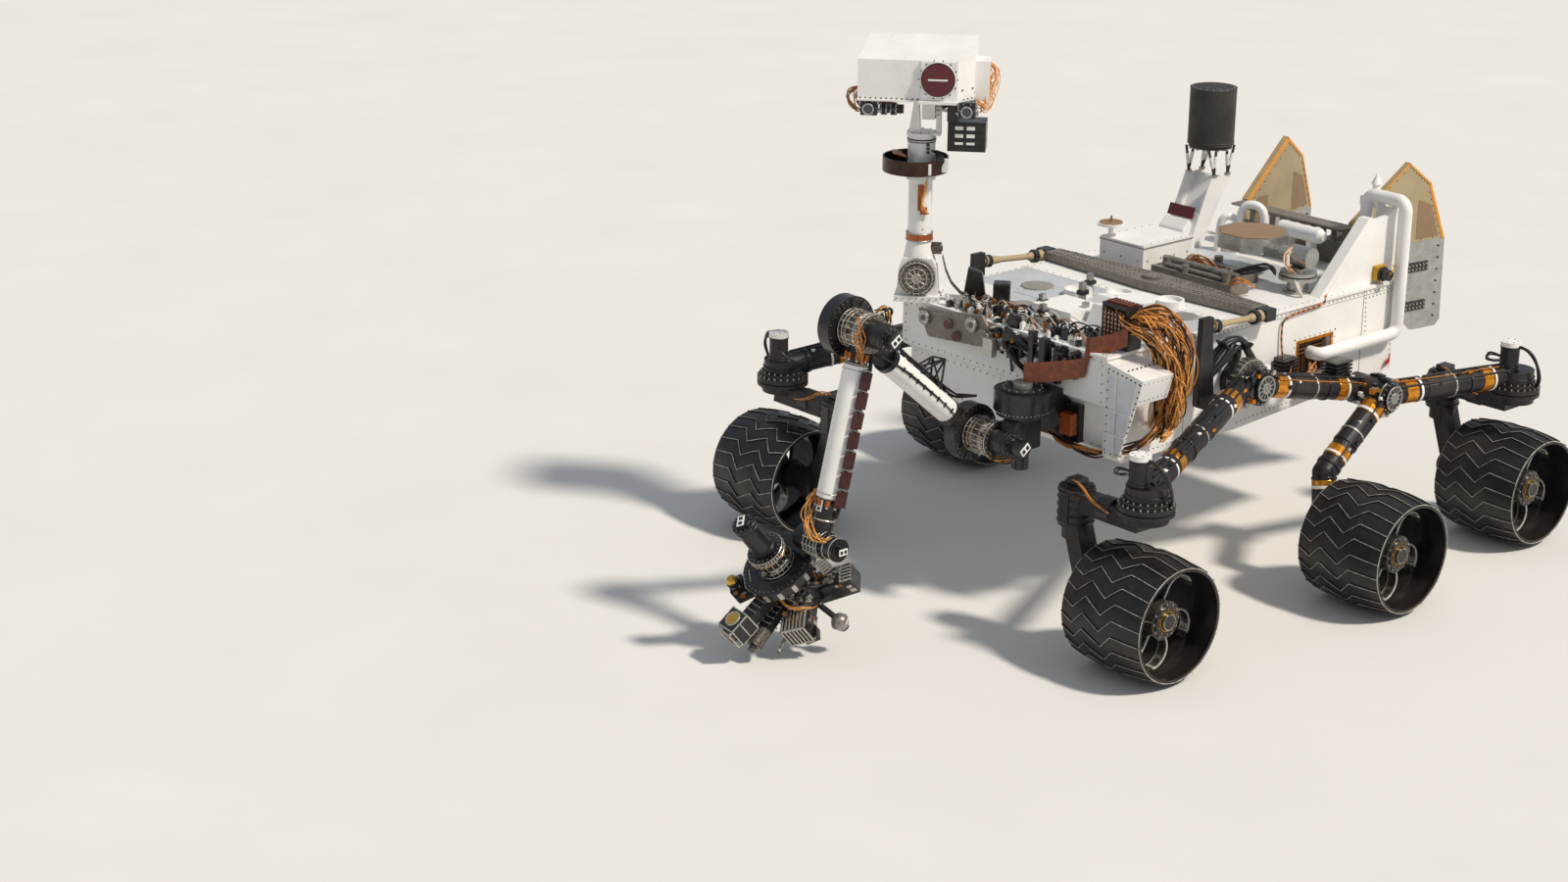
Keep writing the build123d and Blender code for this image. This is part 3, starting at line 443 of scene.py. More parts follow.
def dressTread(corner, x, y, side):
    body = "wheel_" + corner
    ribs, tips, edges = newMeshes(3)
    height = wheels["height"]
    for k in range(wheels["grousers"]):
        start = 360.0 * k / wheels["grousers"]
        addRib(ribs, (x, y), side, start, -0.5, height, wheels["thickness"])
        addRib(tips, (x, y), side, start, height - 0.6, height + 0.5, wheels["tipThickness"])
    for way in (-1, 1):
        addTorus(edges, rover, (x, y + way * wheels["halfWidth"], wheels["radius"]), leftward,
                 wheels["edgeRadius"], 1.8, 72)
    addPiece("grousers_" + corner, ribs, "wheelBlack", body)
    # The grouser tips and the rim edges carry painted highlights
    addPiece("grouserTips_" + corner, tips, "treadHighlight", body)
    addPiece("wheelEdges_" + corner, edges, "treadHighlight", body, smooth=True)


def alongAxle(x, y, side, reach):
    return (x, y + side * reach, wheels["radius"])


# Dark discs on the hub: painted shade inside the wheel
def dressHubShade(corner, x, y, side):
    dark = bmesh.new()
    for reach, radius in wheels["hubShades"]:
        addRod(dark, rover, alongAxle(x, y, side, reach), alongAxle(x, y, side, reach + 1.2), radius, 40)
    addPiece("hubShade_" + corner, dark, "motorBlack", "wheel_" + corner)


def dressHub(corner, x, y, side):
    out = Vector((0, side, 0))
    silver, brass = newMeshes(2)
    boltRing(silver, rover, alongAxle(x, y, side, 128), out, 68, 12, 5.5, 5)
    addTorus(silver, rover, alongAxle(x, y, side, 129), out, 60, 2.0, 36)
    boltRing(brass, rover, alongAxle(x, y, side, 136), out, 52, 10, 4.5, 4, 18)
    addTorus(brass, rover, alongAxle(x, y, side, 137), out, 40, 3.0, 32)
    addPiece("hubBolts_" + corner, silver, "silverBolt", "wheel_" + corner)
    addPiece("hubRing_" + corner, brass, "brassBolt", "wheel_" + corner)


# Thin rods along both edges of each spoke, and a clip where it meets the skin, painted near white as
# highlights
def dressSpokes(corner, x, y, side):
    outline = bmesh.new()
    radius, bend = wheels["spokeRadius"], wheels["spokeBend"]
    angles = [radians(t) for t in range(-90, 31, 12)]
    for k in range(wheels["spokes"]):
        spoke = turned(rover, x, y, wheels["radius"], 360 / wheels["spokes"] * k, "Y")
        for depth, thick in ((81, 4.2), (40, 3)):
            path = [(wheels["spokeFoot"], side * depth, 0)]
            path += [(bend + radius * cos(t), side * depth, radius + radius * sin(t))
                     for t in angles]
            for start, end in zip(path, path[1:]):
                addRod(outline, spoke, start, end, thick, 8)
        addBox(outline, spoke, (182, side * 60 - 19, 100), (190, side * 60 + 19, 116))
    addPiece("spokeEdges_" + corner, outline, "spokeHighlight", "wheel_" + corner, smooth=True)


for corner, (x, y) in wheels["places"].items():
    side = 1 if y > 0 else -1
    dressTread(corner, x, y, side)
    dressHubShade(corner, x, y, side)
    dressSpokes(corner, x, y, side)
    dressHub(corner, x, y, side)
print("wheels done")

# Steering actuators on the legs: bolted flanges, motor rings and wire loops
steering = {"z": 675.0, "forkReach": 360.0, "motorAhead": 34, "motorInboard": 12,
            "drumRings": (24, 52, 84, 118, 148)}


def dressActuator(corner, x, y, z, side):
    bolts, rings = newMeshes(2)
    mx, my = x + steering["motorAhead"], y - side * steering["motorInboard"]
    for lift, reach, count, first, radius, tall in ((20, 105, 24, 0, 4.6, 8), (38, 90, 20, 9, 4.2, 7)):
        boltRing(bolts, rover, (x, y, z + lift), up, reach, count, radius, tall, first)
    boltRing(bolts, rover, (mx, my, z + 220), up, 30, 6, 3.5, 3)
    for lift, reach in ((62, 83), (80, 78)):
        addTorus(rings, rover, (x, y, z + lift), up, reach, 4, 40)
    for lift in (100, 112, 196):
        addTorus(rings, rover, (mx, my, z + lift), up, 41.5, 2.5, 32)
    addPiece("actuatorBolts_" + corner, bolts, "silverBolt")
    addPiece("actuatorRings_" + corner, rings, "legBlack", smooth=True)
    wires = bundle([(x + 60, y - side * 40, z + 150), (x + 96, y - side * 70, z + 170),
                    (x + 60, y - side * 120, z + 120), (x - 20, y - side * 110, z + 96),
                    (x - 90, y - side * 60, z + 110)], 3, 9, "steer" + corner)
    addWires("actuatorWires_" + corner, "blackCable", 3.4, wires)
    loop = bundle([(mx, my, z + 196), (x + 30, y + side * 50, z + 214),
                   (x + 10, y + side * 116, z + 160), (x - 16, y + side * 122, z + 70),
                   (x - 30, y + side * 96, z + 30)], 2, 10, "loop" + corner)
    addWires("actuatorLoops_" + corner, "blackCable", 6.5, loop)


def dressFork(corner, x, y, z, side):
    body = "steer_" + corner
    drum, strip = newMeshes(2)
    dy = y - side * steering["forkReach"]
    for drop in steering["drumRings"]:
        addTorus(drum, rover, (x, dy, z - drop), up, 73, 4, 36)
    boltRing(drum, rover, (x, dy, z - 4), up, 62, 12, 4, 5)
    addBolts(drum, rover, circleOf((x, y, z - 21), up, 101, 20, 6), down, 4.5, 8)
    addBox(drum, rover, (x - 30, dy - 26, z + 3), (x + 34, dy + 30, z + 26))
    addPiece("forkRibs_" + corner, drum, "motorBlack", body, smooth=True)
    addBox(strip, rover, (x + 56, dy - 22, z - 150), (x + 76, dy + 24, z - 20))
    addBox(strip, rover, (x - 76, dy - 20, z - 120), (x - 58, dy + 16, z - 30))
    addRod(strip, rover, (x, y - side * 150, z - 60), (x, y - side * 215, z - 60), 54, 20)
    addPiece("forkWraps_" + corner, strip, "motorBlack", body, bevel=3)
    loops = bundle([(x + 30, dy, z + 20), (x + 50, dy + side * 60, z + 26),
                    (x + 62, dy + side * 130, z - 30), (x + 54, dy + side * 220, z - 50)],
                   4, 8, "fork" + corner)
    addWires("forkWires_" + corner, "amberWire", 2.6, loops, body)


for corner in ("fl", "fr", "rl", "rr"):
    x, y = wheels["places"][corner]
    side = 1 if y > 0 else -1
    dressActuator(corner, x, y, steering["z"], side)
    dressFork(corner, x, y, steering["z"], side)
print("steering done")

# Legs between the pivots, the steering actuators and the middle wheels
suspension = {
    "rockerPivot": (227, 690, 871), "bogiePivot": (-400, 850, 745), "legRadius": 52, "clutterStep": 60,
    "frontEnd": (1259, 1054, 737), "rearEnd": (-1106, 1054, 737), "knee": (-40, 892, 480),
    "foot": (0, 947, 260),
    "looks": ["motorBlack", "goldFilm", "blackCable", "plainWhite", "motorBlack", "gearTrim"],
    # look, share of the leg's length where it starts, width, radius
    "bands": [("motorBlack", 0.08, 12, 54), ("goldFilm", 0.14, 60, 52.3), ("plainWhite", 0.24, 12, 54),
              ("blackCable", 0.3, 150, 52.6), ("gearTrim", 0.5, 8, 55), ("motorBlack", 0.62, 14, 55),
              ("goldFilm", 0.72, 52, 52.3), ("plainWhite", 0.8, 10, 54), ("motorBlack", 0.9, 14, 55)],
}


def legRuns(side):
    px, py, pz = suspension["rockerPivot"]
    bx, by, bz = suspension["bogiePivot"]
    runs = [((px + 60, py + 10, pz + 6), suspension["frontEnd"]),
            ((px - 20, py + 6, pz - 6), (bx, by - 70, bz)),
            ((bx, by + 38, bz), suspension["rearEnd"]),
            ((bx, by + 38, bz), suspension["knee"]),
            (suspension["knee"], suspension["foot"])]
    return [[Vector((x, side * y, z)) for x, y, z in run] for run in runs]


def aroundLeg(side, turn):
    return Vector((0, side * cos(turn), sin(turn)))


def dressLegs(side, chance, meshes):
    routes = []
    looks, step = suspension["looks"], suspension["clutterStep"]
    for a, b in legRuns(side):
        length = (b - a).length
        along = (b - a).normalized()
        for look, share, wide, radius in suspension["bands"]:
            if length > 300 or share < 0.5:
                place = a.lerp(b, share)
                addRod(meshes[look], rover, place, place + along * wide, radius, 24)
        for k in range(int(length / step)):
            out = aroundLeg(side, radians(chance.uniform(-20, 120)))
            spot = a.lerp(b, (k + 0.5) * step / length) + out * suspension["legRadius"]
            size = chance.uniform(6, 13)
            half = Vector((size, size * 0.7, size * 0.7))
            addBox(meshes[looks[k % len(looks)]], rover, spot - half, spot + half)
        for k in range(3):
            out = aroundLeg(side, radians(40 + 30 * k)) * (suspension["legRadius"] + 3)
            routes.append([a.lerp(b, t) + out * (1.0 + 0.05 * sin(9 * t + k))
                           for t in (0.02, 0.25, 0.5, 0.75, 0.97)])
    return routes


def dressPivotFittings(side, chance, meshes):
    px, py, pz = suspension["rockerPivot"]
    bx, by, bz = suspension["bogiePivot"]
    looks = suspension["looks"]
    for x, y, z, radius in ((px, py + 50, pz, 84), (bx, by + 60, bz, 78), (bx, by - 20, bz, 74)):
        for k in range(22):
            turn = radians(chance.uniform(0, 360))
            reach = side * (y + chance.uniform(-44, 30))
            spot = Vector((x + radius * cos(turn), reach, z + radius * sin(turn)))
            size = chance.uniform(5, 14)
            addBox(meshes[looks[k % len(looks)]], rover, spot - Vector((size, size, size)),
                   spot + Vector((size, size, size * 0.8)))


def dressPivotCaps(side, name):
    ribs, rings, disc = newMeshes(3)
    px, py, pz = suspension["rockerPivot"]
    out = (0, side, 0)
    for pivot, face, capFace, radius in (("rockerPivot", 62, 84, 78), ("bogiePivot", 90, 104, 70)):
        x, y, z = suspension[pivot]
        boltRing(ribs, rover, (x, side * (y + face), z), out, radius - 9, 16, 4.5, 5)
        for point in circleOf((x, side * (y + capFace), z), out, 46, 12, 15):
            addRod(ribs, rover, (x, side * (y + capFace + 1), z), point, 2.6, 6)
        for reach, ringRadius, thick, around in ((capFace, 50, 4, 40), (capFace, 20, 5, 28),
                                                 (face - 12, radius, 4, 44)):
            addTorus(rings, rover, (x, side * (y + reach), z), out, ringRadius, thick, around)
    centre = (px, side * (py + 3), pz)
    addRod(disc, rover, (px, side * (py - 44), pz), (px, side * (py + 2), pz), 102, 48)
    for inner, outer in zip(circleOf(centre, out, 76, 20), circleOf(centre, out, 98, 20)):
        addRod(ribs, rover, inner, outer, 3, 6)
    for lift in (-42, 0):
        addTorus(rings, rover, (px, side * (py + lift), pz), out, 102, 3, 56)
    boltRing(ribs, rover, (px, side * (py - 44), pz), out, 104, 26, 4, 44)
    addPiece("pivotDisc_" + name, disc, "toolMetal", bevel=1)
    addPiece("pivotRibs_" + name, ribs, "silverBolt")
    addPiece("pivotRings_" + name, rings, "silverMetal", smooth=True)


# Two finned blocks by the legs, at the left: corners of the block, then of its lowest fin
finStacks = [((-330, 700, 806), (-230, 770, 826), (-334, 696, 830), (-226, 776, 839)),
             ((-122, 600, 842), (-30, 650, 848), (-126, 598, 852), (-26, 656, 861))]


def dressFins(side, name):
    finned = bmesh.new()
    mirror = Matrix.Diagonal((1, side, 1, 1))
    for low, high, finLow, finHigh in finStacks:
        addBox(finned, rover, mirror @ Vector(low), mirror @ Vector(high))
        for k in range(4):
            lift = Vector((0, 0, 16 * k))
            addBox(finned, rover, mirror @ Vector(finLow) + lift, mirror @ Vector(finHigh) + lift)
    addBox(finned, rover, (-112, side * 588, 846), (-40, side * 640, 912))
    addBox(finned, rover, (-320, side * 706, 806), (-240, side * 764, 888))
    addPiece("finnedConnectors_" + name, finned, "motorBlack", bevel=1.5)


def dressSuspension(side, name):
    chance = random.Random("legs" + name)
    meshes = {look: bmesh.new() for look in suspension["looks"]}
    routes = dressLegs(side, chance, meshes)
    dressPivotFittings(side, chance, meshes)
    for look, mesh in meshes.items():
        addPiece("leg_" + look + "_" + name, mesh, look, bevel=1)
    addWires("legWires_" + name, "blackCable", 5, routes[::2] + routes[1::4])
    addWires("legAmber_" + name, "amberWire", 3, routes[3::4])
    dressPivotCaps(side, name)
    dressFins(side, name)


dressSuspension(1, "left")
dressSuspension(-1, "right")
print("suspension done")

# Body sides: rivet rows, windows, braid, hoses and the bracket with its round connector
sides = {
    "y": 588.0, "rivetRadius": 4.2,
    # windows: x from, x to, z from, z to, depth, rim
    "windows": [(-412, -198, 782, 938, 44, 14), (52, 140, 800, 900, 29, 9)],
    # rivet rows: (x, z) from, (x, z) to, count
    "rows": [((-840, 1086), (440, 1086), 46), ((-840, 1062), (-640, 1062), 9),
             ((-640, 1062), (-655, 850), 11), ((-836, 1040), (-836, 720), 14),
             ((-600, 716), (180, 668), 30), ((560, 1086), (980, 1086), 16),
             ((560, 668), (860, 660), 12), ((-440, 960), (-170, 960), 9),
             ((-440, 960), (-440, 760), 7), ((-170, 960), (-170, 760), 7),
             ((-440, 760), (-170, 760), 9)],
    "seams": [((-628, 706), (-624, 1100)), ((520, 660), (523, 1100)), ((-850, 1074), (520, 1076))],
}


def dressSidePlates(side, name):
    y = side * sides["y"]
    rivets, seams = newMeshes(2)
    for (x0, z0), (x1, z1), count in sides["rows"]:
        boltLine(rivets, rover, (x0, y, z0), (x1, y, z1), count, (0, side, 0),
                 sides["rivetRadius"], 2.2)
    for (x0, z0), (x1, z1) in sides["seams"]:
        addBox(seams, rover, (x0, y - side, z0), (x1, y + side, z1))
    addPiece("sideRivets_" + name, rivets, "greyPlate")
    addPiece("sideSeams_" + name, seams, "greyPlate")


def dressWindows(side, name):
    y = side * sides["y"]
    border, inside, parts = newMeshes(3)
    for x0, x1, z0, z1, depth, rim in sides["windows"]:
        for low, high in (((x0 - rim, z0 - rim), (x1 + rim, z0)), ((x0 - rim, z1), (x1 + rim, z1 + rim)),
                          ((x0 - rim, z0), (x0, z1)), ((x1, z0), (x1 + rim, z1))):
            addBox(border, rover, (low[0], y - side * 2, low[1]), (high[0], y + side * 3, high[1]))
        addBox(inside, rover, (x0 + 1, y - side * depth, z0 + 1),
               (x1 - 1, y - side * (depth - 3), z1 - 1))
    for k in range(5):
        addBox(parts, rover, (-402 + 40 * k, y - side * 42, 800), (-374 + 40 * k, y - side * 20, 868))
    for k in range(3):
        addRod(parts, rover, (-404, y - side * 24, 886 + 18 * k),
               (-206, y - side * 24, 880 + 18 * k), 6, 10)
    addPiece("windowBorders_" + name, border, "goldFilm")
    addPiece("windowInsides_" + name, inside, "brownInside")
    addPiece("windowParts_" + name, parts, "brownInside", bevel=1)


# Routes at the left side, from the front of the body to the legs
hoseRoute = [(430, 616, 900), (400, 626, 1000), (330, 636, 1066), (240, 640, 1060), (190, 636, 980),
             (130, 640, 905), (40, 652, 858), (-30, 690, 850)]
loopRoute = [(440, 640, 930), (340, 664, 1010), (300, 660, 1050), (270, 650, 990), (330, 650, 900),
             (300, 660, 852)]
braidRoute = [(-400, 560, 1118), (-352, 592, 1114), (-340, 600, 1098), (-298, 600, 1090),
              (-188, 600, 1086), (-100, 600, 1080), (-66, 600, 1062), (-64, 600, 1030), (-66, 600, 960),
              (-78, 608, 890)]
jumbleRoute = [(150, 600, 870), (90, 650, 820), (10, 660, 800), (-60, 650, 840), (-90, 640, 880)]
lowJumbleRoute = [(-230, 640, 850), (-180, 700, 880), (-120, 720, 850), (-60, 700, 800), (60, 700, 820),
                  (160, 690, 860)]


def onSide(route, side):
    return [(x, side * y, z) for x, y, z in route]


def dressSideWires(side, name):
    hoses = bundle(onSide(hoseRoute, side), 4, 13, "hose" + name)
    hoses += bundle(onSide(loopRoute, side), 3, 12, "loop" + name)
    addWires("sideHoses_" + name, "blackCable", 10.5, hoses)
    addWires("sideBraid_" + name, "stripedBraid", 4.6, [onSide(braidRoute, side)])
    jumble = bundle(onSide(jumbleRoute, side), 7, 22, "jumble" + name)
    jumble += bundle(onSide(lowJumbleRoute, side), 6, 24, "jumbleTwo" + name)
    addWires("sideWires_" + name, "amberWire", 3.2, jumble)
    ties = bmesh.new()
    for x, z, turn in ((360, 1052, 40), (214, 1020, -60), (150, 925, -60), (70, 870, -30)):
        addBox(ties, turned(rover, x, side * 640, z, turn, "Y"), (-5, -26, -24), (5, 26, 24))
    addPiece("hoseTies_" + name, ties, "motorBlack", bevel=4)


def dressSideBracket():
    bracket, plug, tag = newMeshes(3)
    addBox(bracket, rover, (-766, 560, 1126), (-700, 592, 1190))
    addPiece("sideBracket", bracket, "yellowPlate", bevel=2)
    addRod(plug, rover, (-734, 592, 1156), (-734, 604, 1156), 32, 24)
    addRod(plug, rover, (-734, 604, 1156), (-734, 634, 1156), 24, 20)
    addTorus(plug, rover, (-734, 634, 1156), leftward, 20, 4, 24)
    addPiece("roundConnector", plug, "blackCable", smooth=True)
    addWires("connectorWire", "yellowPlate", 3.4,
             [[(-734, 632, 1160), (-752, 640, 1180), (-780, 620, 1190), (-806, 596, 1180)]])
    addPrism(tag, rover, [(-838, 592, 760), (-800, 600, 752), (-790, 604, 730), (-832, 596, 735)],
             (0, 2.5, 0))
    addRod(tag, rover, (-838, 590, 756), (-846, 586, 775), 3, 6)
    addPiece("redTag", tag, "redTag")


for side, name in ((1, "left"), (-1, "right")):
    dressSidePlates(side, name)
    dressWindows(side, name)
    dressSideWires(side, name)
dressSideBracket()
print("sides done")


# Deck: screw rows and rings, sheets, round covers, seams, inlet covers and posts
deck = {
    "z": 1112.0, "halfWidth": 580.0, "rear": -840.0, "front": 994.0, "screwRadius": 3.6,
    # screw rows: (x, y) from, (x, y) to, count
    "rows": [((994, -360), (994, 560), 22), ((250, -560), (250, 560), 26), ((560, -340), (760, 420), 16)],
    # screw rings: x, y, radius, count
    "rings": [(330, 40, 70, 8), (430, -110, 70, 8), (250, 250, 70, 8), (330, 400, 62, 10),
              (461, -319, 76, 10)],
    "sheets": [((272, -572), (598, 178)), ((272, 184), (598, 572)), ((604, -326), (986, 178)),
               ((604, 184), (986, 572)), ((-620, -560), (-360, 470))],
    # round covers: x, y, height, radius, sides
    "covers": [(330, 400, 6, 56, 32), (461, -319, 6, 70, 32), (720, -150, 8, 48, 28)],
    "seams": [((268, -594), (271, 594)), ((270, 180), (990, 182)), ((600, -330), (602, 594))],
    # posts: x, y, height
    "posts": [(500, -20, 90), (344, -123, 80), (640, 130, 60), (820, 60, 70), (700, -60, 66)],
}


def dressDeckScrews():
    z, radius = deck["z"], deck["screwRadius"]
    screws = bmesh.new()
    for side in (-1, 1):
        y = side * deck["halfWidth"]
        boltLine(screws, rover, (deck["rear"], y, z), (deck["front"], y, z), 48, up, radius, 2)
    for start, end, count in deck["rows"]:
        boltLine(screws, rover, (*start, z), (*end, z), count, up, radius, 2)
    for x, y, ring, count in deck["rings"]:
        boltRing(screws, rover, (x, y, z), up, ring, count, radius, 2.4)
    addPiece("deckScrews", screws, "silverBolt")


def dressDeckPlates():
    z = deck["z"]
    sheets, covers, seams = newMeshes(3)
    for low, high in deck["sheets"]:
        addBox(sheets, rover, (*low, z - 1), (*high, z + 0.6))
    addPiece("deckSheets", sheets, "deckSheet")
    for x, y, tall, radius, around in deck["covers"]:
        addRod(covers, rover, (x, y, z), (x, y, z + tall), radius, around)
    addPiece("deckCovers", covers, "greyPlate", bevel=1.5)
    for low, high in deck["seams"]:
        addBox(seams, rover, (*low, z), (*high, z + 0.8))
    addPiece("deckSeams", seams, "greyPlate")


def dressDeckFittings():
    z = deck["z"]
    inlets, posts, dark = newMeshes(3)
    addPrism(inlets, rover, [(560, 190, z), (700, 190, z), (660, 190, z + 74), (590, 190, z + 60)],
             (0, 120, 0))
    addPrism(inlets, rover, [(420, 60, z), (540, 60, z), (500, 60, z + 58), (440, 60, z + 50)],
             (0, 90, 0))
    addRod(inlets, rover, (370, 170, z), (370, 170, z + 40), 70, 28, 84)
    addPiece("deckInletCovers", inlets, "whitePaint", bevel=3)
    for x, y, tall in deck["posts"]:
        addBox(posts, rover, (x - 12, y - 12, z), (x + 12, y + 12, z + tall))
        addBox(dark, rover, (x - 22, y - 16, z + tall * 0.4), (x + 20, y + 18, z + tall * 0.62))
    addPiece("deckPosts", posts, "silverMetal", bevel=1.5)
    addPiece("deckPostBlocks", dark, "motorBlack", bevel=1.5)


# Connectors and wires packed along the front of the deck and down its front edge
frontClutter = {
    "seed": 17, "deckUnits": 120, "edgeUnits": 90, "wires": 60,
    "looks": ["silverMetal", "gearTrim", "motorBlack", "greyPlate", "motorBlack", "whitePaint",
              "silverMetal", "copperCoil", "whitePaint", "darkBolt"],
}


def addUnit(mesh, chance, place, wide, tall):
    if chance.random() < 0.5:
        deep = wide * chance.uniform(0.5, 1.6)
        addBox(mesh, place, (-wide, -deep, 0), (wide, deep, tall))
        addBox(mesh, place, (-wide * 0.6, -deep * 0.6, tall), (wide * 0.6, deep * 0.6, tall + 5))
    else:
        addRod(mesh, place, (0, 0, 0), (0, 0, tall), wide, 14)
        addRod(mesh, place, (0, 0, tall), (0, 0, tall + 8), wide * 0.6, 10)


def scatterUnits(chance):
    looks = frontClutter["looks"]
    groups = {look: bmesh.new() for look in set(looks)}
    for i in range(frontClutter["deckUnits"]):
        spot = turned(rover, 985 - 165 * chance.random() ** 1.5, chance.uniform(-360, 440), deck["z"],
                      chance.uniform(-30, 30))
        addUnit(groups[looks[i % len(looks)]], chance, spot, chance.uniform(5, 17), chance.uniform(10, 46))
    for i in range(frontClutter["edgeUnits"]):
        y = chance.uniform(-40, 450)
        spot = turned(rover, 1002, y, chance.uniform(1000 - 0.06 * y, 1100), 90, "Y")
        addUnit(groups[looks[i % len(looks)]], chance, spot, chance.uniform(5, 15), chance.uniform(8, 34))
    return groups


# A low arch from one unit to the next, kept on the deck
def archRoute(chance):
    z = deck["z"]
    x, y = chance.uniform(830, 985), chance.uniform(-360, 400)
    reach = chance.uniform(60, 170)
    turn = chance.uniform(-1.0, 1.0) + pi / 2
    dx, dy = reach * cos(turn), min(reach * sin(turn), 470 - y)
    dx = max(min(dx, 985 - x), 800 - x)
    return [(x, y, z + 6), (x + dx * 0.2, y + dy * 0.2, z + chance.uniform(26, 66)),
            (x + dx * 0.7, y + dy * 0.7, z + chance.uniform(18, 60)), (x + dx, y + dy, z + 6)]


def dressFrontClutter():
    chance = random.Random(frontClutter["seed"])
    for look, mesh in sorted(scatterUnits(chance).items()):
        addPiece("frontClutter_" + look, mesh, look, bevel=1.2)
    routes = [archRoute(chance) for i in range(frontClutter["wires"])]
    addWires("frontWires", "amberWire", 2.2, routes[::4])
    addWires("frontCables", "blackCable", 3.4, routes[1::4] + routes[2::4])
    addWires("frontPaleWires", "whiteCable", 2.4, routes[3::4])


# Beam across the deck, wider in the middle: rows of holes, clamps, and boots where it meets the links
beam = {"x": 80.0, "z": 1154.0, "halfSpan": 590.0, "wide": (40, 76), "holesPerRow": 48,
        "rows": (-0.8, -0.45, 0.45, 0.8), "clamps": (-500, -330, -160, 160, 330, 500)}


def beamHalf(y):
    narrow, wide = beam["wide"]
    return wide + (narrow - wide) * abs(y) / beam["halfSpan"]


def dressBeam():
    holes, trim, boots = newMeshes(3)
    x, z, count = beam["x"], beam["z"], beam["holesPerRow"]
    # The holes are thin dark discs: painted shade in them
    for share in beam["rows"]:
        for k in range(count):
            y = -560 + 1120 * k / (count - 1)
            if abs(y) > 62:    # none under the pivot in the middle
                across = x + share * beamHalf(y)
                addRod(holes, rover, (across, y, z - 0.5), (across, y, z + 0.8), 5.0, 8)
    addPiece("beamHoles", holes, "darkInside")
    for y in beam["clamps"]:
        addBox(trim, rover, (x - beamHalf(y) - 2, y - 8, 1116), (x + beamHalf(y) + 2, y + 8, z + 3))
    boltRing(trim, rover, (80, 0, 1166), up, 34, 10, 4, 4)
    addPiece("beamTrim", trim, "beamGrey", bevel=2)
    for side in (-1, 1):
        addRod(boots, rover, (150, side * 630, 1131), (176, side * 634, 1133), 30, 20)
        addRod(boots, rover, (420, side * 655, 1149), (446, side * 657, 1151), 28, 20)
        addBox(boots, rover, (56, side * 600, 1108), (120, side * 662, 1158))
    addPiece("linkBoots", boots, "motorBlack", bevel=2)


# Box on the deck with its screws, and the tan top of the patch antenna on it
def dressDeckBox():
    trim, patch = newMeshes(2)
    addBox(trim, rover, (-353, -420, 1226), (-27, -157, 1231))
    for start, end, count, axis, radius in (((-340, -405, 1240), (-40, -405, 1240), 7, up, 4),
                                            ((-340, -172, 1240), (-40, -172, 1240), 7, up, 4),
                                            ((-30, -390, 1170), (-30, -190, 1170), 3, forward, 6),
                                            ((-320, -160, 1170), (-60, -160, 1170), 4, leftward, 6)):
        boltLine(trim, rover, start, end, count, axis, radius, 2)
    addPiece("deckBoxTrim", trim, "greyPlate")
    addRod(patch, rover, (-62, -385, 1300), (-62, -385, 1304), 52, 28)
    addRod(patch, rover, (-62, -385, 1304), (-62, -385, 1330), 5, 10)
    addPiece("patchTop", patch, "tanTop")


# Eight-sided dish: tan top, screws along the edges, wires down its yoke
dish = {"centre": (-430, 112), "topRadius": 150, "topZ": 1300, "edgeRadius": 164, "edgeZ": 1292,
        "firstCorner": 22, "corner": 45}


def dishPoint(radius, angle, z):
    x, y = dish["centre"]
    a = radians(angle)
    return Vector((x + radius * cos(a), y + radius * sin(a), z))


def dressDish():
    top, screws = newMeshes(2)
    step = dish["corner"]
    corners = range(dish["firstCorner"], dish["firstCorner"] + 360, step)
    addPrism(top, rover, [dishPoint(dish["topRadius"], a, dish["topZ"]) for a in corners], (0, 0, 3))
    addPiece("dishTop", top, "tanTop", "dish")
    radius, z = dish["edgeRadius"], dish["edgeZ"]
    for a in corners:
        first, last = dishPoint(radius, a, z), dishPoint(radius, a + step, z)
        out = first + last - 2 * Vector((*dish["centre"], z))
        addBolts(screws, rover, rowOf(first, last, 5)[1:4], out, 3.5, 2.4)
    addPiece("dishScrews", screws, "silverBolt", "dish")


def dressDishWires():
    loops = bundle([(-372, 396, 1300), (-330, 394, 1296), (-296, 406, 1255), (-290, 436, 1215),
                    (-312, 462, 1194)], 14, 16, "dish")
    addWires("dishWires", "whiteCable", 3.2, loops[::2], "dish_yoke")
    addWires("dishTanWires", "amberWire", 2.8, loops[1::2], "dish_yoke")
    addWires("dishFootWires", "whiteCable", 3.4,
             bundle([(-290, 480, 1176), (-270, 500, 1160), (-276, 520, 1116)], 10, 20, "dishFoot"))
    addWires("deckDarkWires", "blackCable", 4.6,
             bundle([(-330, 330, 1170), (-260, 380, 1230), (-200, 330, 1220), (-150, 240, 1180)],
                    7, 24, "dw"))


# Open mechanism behind the beam: canisters, rods and loose wires; then pipe bends and a tank
mechanism = {
    "floor": 1150,
    # canisters: x, y, radius, height
    "cans": [(-100, -80, 22, 70), (-70, 280, 18, 80), (-140, 200, 26, 60), (-60, 60, 16, 66),
             (-210, 180, 18, 56), (-300, 40, 20, 62)],
    # rods: from, to, radius, sides
    "rods": [((-120, -110, 1186), (-120, 300, 1186), 15, 14), ((-70, -60, 1176), (-70, 260, 1176), 10, 12),
             ((-260, 30, 1166), (-260, 220, 1166), 14, 14)],
    "bends": [[(-650, -150, 1112), (-655, -150, 1260), (-660, -140, 1330), (-680, -90, 1345),
               (-700, -50, 1320), (-700, -40, 1250), (-700, -30, 1120)],
              [(-610, -230, 1112), (-615, -230, 1230), (-625, -215, 1275), (-660, -180, 1270),
               (-690, -160, 1200), (-700, -150, 1116)]],
}


